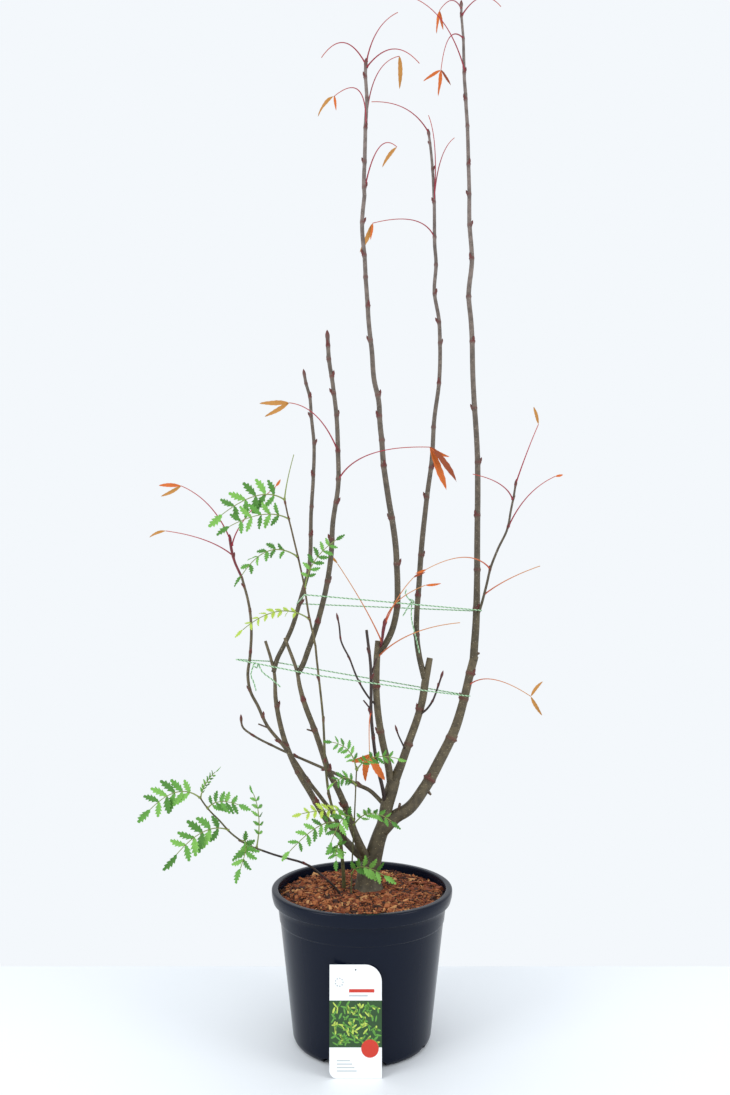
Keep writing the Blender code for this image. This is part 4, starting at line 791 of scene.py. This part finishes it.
def whole_leaf(skins, line, pairs, length, roll, rng, tint):
    """The pairs of leaflets along a stalk and the one at its end."""
    face = turn_about(np.array([0, -1.0, 0]), line[-1] - line[0], roll)
    for k in range(pairs + 1):
        share = 0.22 + 0.78 * k / pairs
        at = point_on(line, share)
        along = point_on(line, min(share + 0.03, 1)) - point_on(line, min(share, 0.97))
        along /= np.linalg.norm(along)
        side = np.cross(face, along)
        side /= np.linalg.norm(side)
        size = length * CM
        if k < pairs:
            size *= 0.74 + 0.26 * math.sin(math.pi * (k + 0.5) / pairs)
        for way in (-1, 1) if k < pairs else (0,):
            swing = 0 if way == 0 else math.radians(58 + rng.uniform(-8, 8))
            heading = along * math.cos(swing) + side * way * math.sin(swing)
            heading += face * rng.uniform(-0.12, 0.2) + np.array([0, 0, -0.10])
            heading /= np.linalg.norm(heading)
            shade = tint if tint is not None else int(rng.integers(0, 3))
            tip = at + heading * size * rng.uniform(0.92, 1.06)
            tip = at + (tip - at) * 1.04
            leaflet(skins[shade], at, tip, size * 0.5, face + 0.3 * rng.normal(size=3), rng)


def withered(skin, at, reach, broad, rng):
    """A leaflet that dried where it hung: its edges rolled in and its tip bent over."""
    face = np.array([rng.uniform(-0.5, 0.5), -1, rng.uniform(-0.3, 0.3)])
    reach = np.asarray(reach) * CM
    wide = max(6 * MM, np.linalg.norm(reach) * 0.19) * broad
    leaflet(skin, at, at + reach, wide, face, rng, fold=0.9, droop=0.34, curl=0.5, teeth=6, notch=0.12)


green_skins = [Skin() for _ in LEAF_GREENS]
dried_skins = [Skin() for _ in DRIED]
rng = np.random.default_rng(20)
for number, (name, spec) in enumerate(MASSES.items()):
    stalks = Skin()
    greens = Skin()
    wood = Skin()
    if "stem" in spec:
        stem(wood, spec["stem"], 40 + number, facets=10)
    for leaf in spec["stalks"]:
        at = np.array(leaf["at"]) * CM
        line = arc(at, np.array(leaf["lead"]) * CM, np.array(leaf["end"]) * CM, 33)
        leafy = "pairs" in leaf or "bare" in leaf
        # A stalk is stout at its foot, where it clasps the stem, and thin at its end
        share = np.linspace(0, 1, len(line))
        radius = (0.8 + 0.75 * (1 - share) ** 2 + 1.5 * np.exp(-share / 0.02)) * MM
        verts, faces = tube(line, radius, 6)
        pale = leaf.get("pale", 0.0)
        fade = 1 - pale if pale else 0.5
        shade = np.repeat(pale + fade * share, 6)
        shade = np.concatenate([shade, [pale, pale + fade]])
        (greens if leafy else stalks).put(verts, faces, shade)
        if "pairs" in leaf:
            roll, tint = leaf.get("roll", 0), leaf.get("tint")
            whole_leaf(green_skins, line, leaf["pairs"], leaf["blade"], roll, rng, tint)
        for reach in leaf.get("dried", ()):
            pick = 0 if rng.random() < 0.45 else int(rng.integers(1, 3))
            withered(dried_skins[pick], line[-1], reach, leaf.get("broad", 1), rng)
    left = (name,)
    if wood.count:
        tone = BARKS.get(spec["stem"].get("tone"), BARK_YOUNG)
        wood.make(f"{name} stem", [tone], "bark", replaces=left)
    if stalks.count:
        stalks.make(f"{name} stalks", [STALK_RED], "stalk", replaces=left, attribute="along")
    if greens.count:
        greens.make(f"{name} green stalks", [STALK_GREEN], "leaf", replaces=left, attribute="along")
for material, skin in zip(LEAF_GREENS, green_skins):
    if skin.count:
        skin.make(material.name, [material], "leaf")
for material, skin in zip(DRIED, dried_skins):
    if skin.count:
        skin.make(material.name, [material], "stalk")

# %% [markdown]
# ## The pot
#
# A nursery pot is moulded in one piece: a flared wall, a band under the rolled rim, and a
# foot that is cut away at the drain holes. It is a profile turned round the axis, with its
# edges rounded by short arcs, and the drains are cut by cylinders.

# %% Pot
POT_TOP = 0.293
RIM_RADIUS = 0.1795
RIM_DEPTH = 0.026
MOUTH_RADIUS = 0.166
WALL = 2.5 * MM
BAND = 0.231
FOOT_RADIUS = 0.120
DRAINS = 8


def wall_radius(z):
    return 0.1345 + 0.118 * z


def rounded(profile, radius, steps=4):
    """The profile with each inner corner replaced by a short curve."""
    out = [profile[0]]
    for a, b, c in zip(profile, profile[1:], profile[2:]):
        a, b, c = map(np.array, (a, b, c))
        cut = min(radius, np.linalg.norm(a - b) / 2.2, np.linalg.norm(c - b) / 2.2)
        start = b + (a - b) / np.linalg.norm(a - b) * cut
        stop = b + (c - b) / np.linalg.norm(c - b) * cut
        for t in np.linspace(0, 1, steps + 1):
            out.append(tuple((1 - t) ** 2 * start + 2 * t * (1 - t) * b + t * t * stop))
    return out + [profile[-1]]


def turned(profile, facets):
    """A profile of (radius, height) turned round the axis; it starts and ends on the axis or closes."""
    profile = np.array(profile)
    turn = 2 * np.pi * np.arange(facets) / facets
    rings = np.stack([
        profile[:, :1] * np.cos(turn)[None],
        profile[:, :1] * np.sin(turn)[None],
        np.repeat(profile[:, 1:], facets, axis=1),
    ], -1)
    faces = []
    for k in range(len(profile) - 1):
        for j in range(facets):
            i = (j + 1) % facets
            faces.append((k * facets + j, (k + 1) * facets + j, (k + 1) * facets + i, k * facets + i))
    return rings.reshape(-1, 3), faces


outer = [
    (MOUTH_RADIUS, POT_TOP - 5 * MM),
    (MOUTH_RADIUS + 0.8 * MM, POT_TOP),
    (RIM_RADIUS, POT_TOP),
    (RIM_RADIUS - 0.3 * MM, POT_TOP - 12 * MM),
    (RIM_RADIUS - 4 * MM, POT_TOP - RIM_DEPTH),
    (wall_radius(POT_TOP) + 0.5 * MM, POT_TOP - RIM_DEPTH + 0.5 * MM),
    (wall_radius(0.26) + 1.2 * MM, 0.258),
    (wall_radius(BAND) + 1.5 * MM, BAND + 1.5 * MM),
    (wall_radius(BAND), BAND),
    (wall_radius(0.011), 0.011),
    (wall_radius(0) - 3 * MM, 2.5 * MM),
    (FOOT_RADIUS, 0.0),
    (0.0, 0.0),
]
inner = [
    (0.0, WALL),
    (FOOT_RADIUS - WALL, WALL),
    (wall_radius(0.011) - WALL, 0.011),
    (wall_radius(BAND) - WALL, BAND),
    (MOUTH_RADIUS - 0.5 * MM, POT_TOP - RIM_DEPTH),
    (MOUTH_RADIUS, POT_TOP - 5 * MM),
]
skin = Skin()
verts, faces = turned(rounded(outer, 4 * MM) + inner[:-1] + [outer[0]], 144)
skin.put(verts, faces)
pot = skin.make("pot, moulded", [PLASTIC], "pot_plastic", replaces=("pot",))
body = bmesh.new()
body.from_mesh(pot.data)
bmesh.ops.remove_doubles(body, verts=body.verts, dist=1e-5)
bmesh.ops.recalc_face_normals(body, faces=body.faces)
body.to_mesh(pot.data)
body.free()
for k in range(DRAINS):
    turn = 2 * math.pi * (k + 0.35) / DRAINS
    out = np.array([math.cos(turn), math.sin(turn), 0])
    line = np.array([0, 0, 2 * MM]) + np.outer([FOOT_RADIUS - 5 * MM, FOOT_RADIUS + 25 * MM], out)
    cut = bpy.data.meshes.new("drain")
    verts, faces = tube(line, np.full(2, 10.5 * MM), 24)
    cut.from_pydata(verts.tolist(), [], faces)
    outwards = bmesh.new()
    outwards.from_mesh(cut)
    bmesh.ops.recalc_face_normals(outwards, faces=outwards.faces)
    outwards.to_mesh(cut)
    outwards.free()
    cutter = bpy.data.objects.new("drain", cut)
    bpy.context.scene.collection.objects.link(cutter)
    change = pot.modifiers.new("drain", "BOOLEAN")
    change.operation = "DIFFERENCE"
    change.object = cutter
    bpy.context.view_layer.update()
    shaped = bpy.data.meshes.new_from_object(pot.evaluated_get(bpy.context.evaluated_depsgraph_get()))
    pot.modifiers.clear()
    pot.data = shaped
    bpy.data.objects.remove(cutter)
print("pot", len(pot.data.polygons), "faces")

# %% [markdown]
# ## Bark compost
#
# The growing mix is a low mound with a rough top, strewn with chips of composted bark. Each
# chip is a small irregular block, long with the fibre, lying flat on the mound.

# %% Soil
SOIL_TOP = 0.284
SOIL_EDGE = 0.277
CHIPS = 7600
CHIP = 1.9  # half the size of a middling chip, in mm
LONGEST_CHIP = 16 * MM


def soil_height(radius):
    share = np.clip((radius - 0.08) / (0.165 - 0.08), 0, 1)
    return SOIL_TOP + (SOIL_EDGE - SOIL_TOP) * share**1.5


rng = np.random.default_rng(5)
facets, rows = 120, 44
radii = np.linspace(0, MOUTH_RADIUS - 1.6 * MM, rows)
turn = 2 * np.pi * np.arange(facets) / facets
x = radii[:, None] * np.cos(turn)[None]
y = radii[:, None] * np.sin(turn)[None]
z = soil_height(radii)[:, None] - 0.8 * MM + rng.normal(0, 0.7 * MM, x.shape)
z[0] = z[0].mean()
verts = np.stack([x, y, z], -1).reshape(-1, 3)
wall_foot = np.stack([x[-1], y[-1], np.full(facets, SOIL_EDGE - 0.03)], -1)
verts = np.concatenate([verts, wall_foot])
faces = []
for k in range(rows):
    for j in range(facets):
        i = (j + 1) % facets
        faces.append((k * facets + j, (k + 1) * facets + j, (k + 1) * facets + i, k * facets + i))
ground = Skin()
ground.put(verts, faces)
ground.make("bark compost, fines", [FINES], "growing_mix", replaces=("soil",))
chips = Skin()
corners = np.array([(sx, sy, sz) for sx in (-1, 1) for sy in (-1, 1) for sz in (-1, 1)], float)
block = [(0, 1, 3, 2), (4, 6, 7, 5), (0, 4, 5, 1), (2, 3, 7, 6), (0, 2, 6, 4), (1, 5, 7, 3)]
for _ in range(CHIPS):
    radius = (MOUTH_RADIUS - 6 * MM) * math.sqrt(rng.random())
    angle = rng.uniform(0, 2 * math.pi)
    size = rng.lognormal(math.log(CHIP), 0.5) * MM
    half = size * np.array([rng.uniform(0.8, 1.9), rng.uniform(0.35, 0.8), rng.uniform(0.15, 0.4)])
    half = np.minimum(half, LONGEST_CHIP / 2)
    yaw, pitch, roll = rng.uniform(0, math.pi), rng.normal(0, 0.25), rng.normal(0, 0.3)
    shape = corners * half * rng.uniform(0.6, 1.15, (8, 3))
    cy, sy, cp, sp, cr, sr = (
        math.cos(yaw), math.sin(yaw), math.cos(pitch), math.sin(pitch), math.cos(roll), math.sin(roll)
    )
    spin = np.array([
        [cy * cp, cy * sp * sr - sy * cr, cy * sp * cr + sy * sr],
        [sy * cp, sy * sp * sr + cy * cr, sy * sp * cr - cy * sr],
        [-sp, cp * sr, cp * cr],
    ])
    lift = soil_height(radius) + half[2] * 0.3 + rng.uniform(-0.6, 0.8) * MM
    at = np.array([radius * math.cos(angle), radius * math.sin(angle), lift])
    chips.put(shape @ spin.T + at, block, slot=int(rng.choice(4, p=[0.24, 0.42, 0.26, 0.08])))
chips.make("bark compost, chips", CHIP_COLOURS, "growing_mix", smooth=False)



def fallen_leaflet(skin, root, tip, wide, teeth):
    """A leaflet that lies on the chips, its foot 1 mm higher than its tip."""
    leaflet(skin, (*root, SOIL_TOP + 3 * MM), (*tip, SOIL_TOP + 2 * MM), wide, (0, 0.1, 1), rng, teeth=teeth)


fallen = Skin()
fallen_leaflet(fallen, (0.096, 0.036), (0.131, 0.048), 12 * MM, 6)
fallen_leaflet(fallen, (0.124, 0.046), (0.155, 0.034), 12 * MM, 6)
fallen.make("fallen leaf", [DRIED[2]], "stalk")
yellow = Skin()
fallen_leaflet(yellow, (0.050, 0.03), (0.062, 0.036), 5 * MM, 5)
yellow.make("fallen leaflet", [DRIED[1]], "stalk")

# %% [markdown]
# ## Twine
#
# Two loops of green twine hold the stems together. A taut loop takes the shortest way round
# what it holds, the convex outline of the stems at its height. Two strands are laid round
# each other with a pitch of 9 mm.

# %% Ties
TIES = {
    "lower_tie": dict(height=70.2, slope_x=-0.165, slope_y=-0.02, wide=2.2),
    "upper_tie": dict(height=85.6, slope_x=-0.05, slope_y=-0.10, wide=0.0),
}
HOLDS = {
    "lower_tie": ("right_bough", "inner_bough", "centre_bough", "dark_shoot", "front_bough", "left_bough",
                  "front_leader", "left_leader", "far_left_stem", "olive_stem", "dark_twig", "inner_twig"),
    "upper_tie": ("right_leader", "side_twig", "inner_leader", "centre_leader", "front_leader", "left_leader",
                  "olive_leaves"),
}
TWINE_RADIUS = 1.3 * MM
LAY = 9 * MM
# Loose ends that hang from each knot, and the knot's two turns
TAILS = {
    "lower_tie": [
        [(-21.4, -4.4, 73.4), (-21.8, -4.9, 71.4), (-21.2, -5.0, 69.9), (-20.8, -4.9, 68.4)],
        [(-20.4, -4.6, 73.6), (-19.6, -5.2, 72.2), (-17.6, -5.3, 70.6), (-16.0, -5.2, 69.2)],
        [(-21.0, -4.2, 73.9), (-21.3, -5.0, 73.3), (-20.7, -4.9, 72.9), (-20.5, -4.3, 73.6)],
    ],
    "upper_tie": [
        [(10.0, -1.6, 85.8), (9.9, -2.2, 82.6), (10.8, -2.1, 78.6), (11.5, -1.9, 75.6)],
        [(9.9, -1.7, 85.9), (9.2, -2.3, 86.6), (8.7, -2.2, 87.6), (8.9, -2.0, 88.3)],
        [(10.1, -1.6, 86.0), (9.5, -2.5, 85.2), (8.7, -2.6, 83.9), (8.2, -2.3, 83.0)],
        [(9.6, -1.5, 86.1), (9.9, -2.3, 86.3), (10.4, -2.1, 85.8), (10.2, -1.4, 85.6)],
    ],
}


def crossing(name, plane):
    """Where a stem passes through a tie's plane, and its radius there."""
    spec = LIMBS[name] if name in LIMBS else MASSES[name]["stem"]
    points, run = smooth_path(np.array(spec["through"]) * CM, 2 * MM)
    across = np.array(spec["across"]) * MM
    radius = np.interp(run / run[-1], np.linspace(0, 1, len(across)), across) / 2
    level = plane["height"] * CM + plane["slope_x"] * points[:, 0] + plane["slope_y"] * points[:, 1]
    k = np.argmin(np.abs(points[:, 2] - level))
    return points[k], radius[k]


def hull(points):
    """The convex outline of points in plan, anticlockwise."""
    points = sorted(map(tuple, points))
    chains = []
    for run in (points, points[::-1]):
        chain = []
        for p in run:
            while len(chain) > 1:
                (ax, ay), (bx, by) = chain[-2], chain[-1]
                if (bx - ax) * (p[1] - ay) - (by - ay) * (p[0] - ax) > 0:
                    break
                chain.pop()
            chain.append(p)
        chains.append(chain[:-1])
    return np.array(chains[0] + chains[1])


def strands(skin, line, lay=LAY, radius=TWINE_RADIUS):
    """Two strands laid round each other along a line of points about 1 mm apart."""
    ahead, sides, ups = ring_axes(line)
    run = np.concatenate([[0], np.cumsum(np.linalg.norm(np.diff(line, axis=0), axis=1))])
    for strand in (0, 1):
        turn = 2 * np.pi * run / lay + math.pi * strand
        centre = line + 0.45 * radius * (np.cos(turn)[:, None] * sides + np.sin(turn)[:, None] * ups)
        verts, faces = tube(centre, np.full(len(line), 0.7 * radius), 6)
        skin.put(verts, faces, slot=strand)


def resample(line, step=1.5 * MM):
    run = np.concatenate([[0], np.cumsum(np.linalg.norm(np.diff(line, axis=0), axis=1))])
    new = np.linspace(0, run[-1], int(run[-1] / step) + 2)
    return np.stack([np.interp(new, run, line[:, i]) for i in range(3)], -1)


for name, plane in TIES.items():
    around = []
    for held in HOLDS[name]:
        at, radius = crossing(held, plane)
        reach = radius + TWINE_RADIUS
        turns = np.linspace(0, 2 * np.pi, 25)
        around += [(at[0] + reach * math.cos(a), at[1] + reach * math.sin(a)) for a in turns]
    left = min(around)
    around.append((left[0] - plane["wide"] * CM, left[1]))
    outline = hull(around)
    outline = np.vstack([outline, outline[:1]])
    height = plane["height"] * CM + plane["slope_x"] * outline[:, 0] + plane["slope_y"] * outline[:, 1]
    loop = resample(np.column_stack([outline, height]))
    skin = Skin()
    strands(skin, loop)
    for tail in TAILS[name]:
        path, _ = smooth_path(np.array(tail) * CM, 1.5 * MM)
        strands(skin, path)
    skin.make(name.replace("_", " ") + " twine", [TWINE, TWINE_DARK], "twine", replaces=(name,))

# %% [markdown]
# ## The card
#
# The card is a flat sheet with two rounded corners, printed with a field of small leaves, a
# band and a square; where its hanging hole would be, a dark disc is painted shade. The prints
# are thin shapes on its front.

# %% Card
CARD_WIDTH = 0.095
CARD_HEIGHT = 0.199
CARD_THICK = 0.9 * MM
CARD_CENTRE = -0.011
CARD_FOOT = -0.165
ROUND_FOOT = 0.014
ROUND_TOP = 0.030
FIELD_FOOT = 0.054
FIELD_HEIGHT = 0.082
# A whole turn in radians, and the steps between the corners of dots and of the round spot
WHOLE_TURN = 6.28
EIGHTH = 0.785
SPOT_STEP = 0.262
DOTS = 9
# How far a print's back and front stand off the card
UNDER = (0.02 * MM, 0.06 * MM)
OVER = (0.06 * MM, 0.09 * MM)
TOP = (0.10 * MM, 0.14 * MM)
top_y = -wall_radius(CARD_HEIGHT) - 0.9 * MM
lean = math.atan2(top_y - CARD_FOOT, CARD_HEIGHT)


def on_card(u, v, lift=0.0):
    """A place on the card: u to the right of its middle, v up from its foot, lift off its front."""
    out = np.array([0, -math.cos(lean), math.sin(lean)])
    up = np.array([0, math.sin(lean), math.cos(lean)])
    foot = np.array([CARD_CENTRE, CARD_FOOT, 0.4 * MM])
    return foot + np.array([1.0, 0, 0]) * u + up * v + out * (CARD_THICK / 2 + lift)


def corner(centre, radius, start, steps=10):
    turns = [math.radians(start + 90 * k / steps) for k in range(steps + 1)]
    return [(centre[0] + radius * math.cos(a), centre[1] + radius * math.sin(a)) for a in turns]


def sheet(skin, outline, low, high, slot=0):
    """A flat shape of some thickness on the card, from its outline."""
    n = len(outline)
    verts = [on_card(u, v, lift) for lift in (low, high) for u, v in outline]
    faces = [tuple(range(n))[::-1], tuple(range(n, 2 * n))]
    faces += [(k, (k + 1) % n, n + (k + 1) % n, n + k) for k in range(n)]
    skin.put(verts, faces, slot=slot)


def disc(u, v, radius, step=EIGHTH):
    """The outline of a round shape, with a corner at each step of its turn."""
    return [(u + radius * math.cos(t), v + radius * math.sin(t)) for t in np.arange(0, WHOLE_TURN, step)]


def bar(u, v, wide, high):
    """The outline of an upright rectangle, from its lower left corner."""
    return [(u, v), (u + wide, v), (u + wide, v + high), (u, v + high)]


half = CARD_WIDTH / 2
outline = corner((-half + ROUND_FOOT, ROUND_FOOT), ROUND_FOOT, 180) + [(half, 0)]
outline += corner((half - ROUND_TOP, CARD_HEIGHT - ROUND_TOP), ROUND_TOP, 0) + [(-half, CARD_HEIGHT)]
skin = Skin()
sheet(skin, outline, -CARD_THICK, 0)
skin.make("card", [CARD_WHITE], "card", replaces=("label_card",), smooth=False)
DEEP, LEAF, LIME, RED, GREY, HOLE_SHADE = range(len(PRINT))
prints = Skin()
sheet(prints, bar(-half, FIELD_FOOT, CARD_WIDTH, FIELD_HEIGHT), *UNDER, slot=DEEP)
rng = np.random.default_rng(8)
for _ in range(150):
    u = rng.uniform(-half + 6 * MM, half - 6 * MM)
    v = rng.uniform(FIELD_FOOT + 5 * MM, FIELD_FOOT + FIELD_HEIGHT - 5 * MM)
    angle = rng.uniform(0, math.pi)
    long, wide = rng.uniform(4, 7) * MM, rng.uniform(1.2, 2.0) * MM
    shape = []
    for t in np.linspace(0, 2 * math.pi, 9)[:-1]:
        a, b = long * math.cos(t), wide * math.sin(t)
        turned_u = a * math.cos(angle) - b * math.sin(angle)
        turned_v = a * math.sin(angle) + b * math.cos(angle)
        shape.append((u + turned_u, v + turned_v))
    sheet(prints, shape, *OVER, slot=int(rng.choice([LEAF, LEAF, LIME])))
# A ring of dots, two bars, the hanging hole as a dark disc of painted shade, a round spot and four short
# lines
for k in range(DOTS):
    angle = 2 * math.pi * k / DOTS
    at = (-0.030 + 7 * MM * math.cos(angle), 0.168 + 7 * MM * math.sin(angle))
    sheet(prints, disc(*at, 1.6 * MM), *UNDER, slot=GREY)
sheet(prints, bar(-0.012, 0.150, 0.046, 6 * MM), *UNDER, slot=RED)
sheet(prints, bar(-0.012, 0.143, 0.034, 3 * MM), *UNDER, slot=GREY)
# Painted shade: a near-black disc where the hanging hole would be, as the card has no hole
sheet(prints, disc(0, 0.190, 1.5 * MM), 0.02 * MM, 0.05 * MM, slot=HOLE_SHADE)
sheet(prints, disc(0.026, 0.052, 0.016, SPOT_STEP), *TOP, slot=RED)
for k in range(4):
    sheet(prints, bar(-0.034, 0.012 + 6 * MM * k, (36 - 4 * k) * MM, 2 * MM), *UNDER, slot=GREY)
prints.make("card print", list(PRINT.values()), "card", smooth=False)

# %% [markdown]
# ## Stage, light and camera
#
# A pale floor and an even white surround, as in a catalogue photo, with two large soft
# lights that draw the pot's broad highlights. The camera stands where the photo's did.

# %% Stage
floor_mesh = bpy.data.meshes.new("floor")
FLOOR_BACK = 0.35  # the wall's foot in the photo
floor_mesh.from_pydata(
    [(-6, -6, 0), (6, -6, 0), (6, FLOOR_BACK, 0), (-6, FLOOR_BACK, 0)], [], [(0, 1, 2, 3)]
)
floor = bpy.data.objects.new("floor", floor_mesh)
bpy.context.scene.collection.objects.link(floor)
floor_mesh.materials.append(plain("pale floor", "eef2f6", 0.6))

bpy.context.scene.view_settings.view_transform = "Standard"
world = bpy.data.worlds.new("white surround")
bpy.context.scene.world = world
world.use_nodes = True
world.node_tree.nodes["Background"].inputs["Color"].default_value = linear("f4f8fc")
world.node_tree.nodes["Background"].inputs["Strength"].default_value = 1.0


def soft_light(name, place, size, power):
    data = bpy.data.lights.new(name, "AREA")
    data.shape = "RECTANGLE"
    data.size, data.size_y = size
    data.energy = power
    made = bpy.data.objects.new(name, data)
    made.location = place
    made.rotation_euler = (Vector((0, 0, 0.8)) - Vector(place)).to_track_quat("-Z", "Y").to_euler()
    bpy.context.scene.collection.objects.link(made)


soft_light("left window", (-2.2, -1.8, 1.9), (1.4, 2.2), 38)
soft_light("right window", (2.3, -1.4, 1.6), (1.2, 2.0), 26)

camera_data = bpy.data.cameras.new("camera")
camera_data.lens = 31.0
camera_data.sensor_width = 36
camera = bpy.data.objects.new("camera", camera_data)
camera.location = (0.006, -1.913, 0.872)
camera.rotation_euler = (math.radians(92.88), 0, 0)
bpy.context.scene.collection.objects.link(camera)
bpy.context.scene.camera = camera
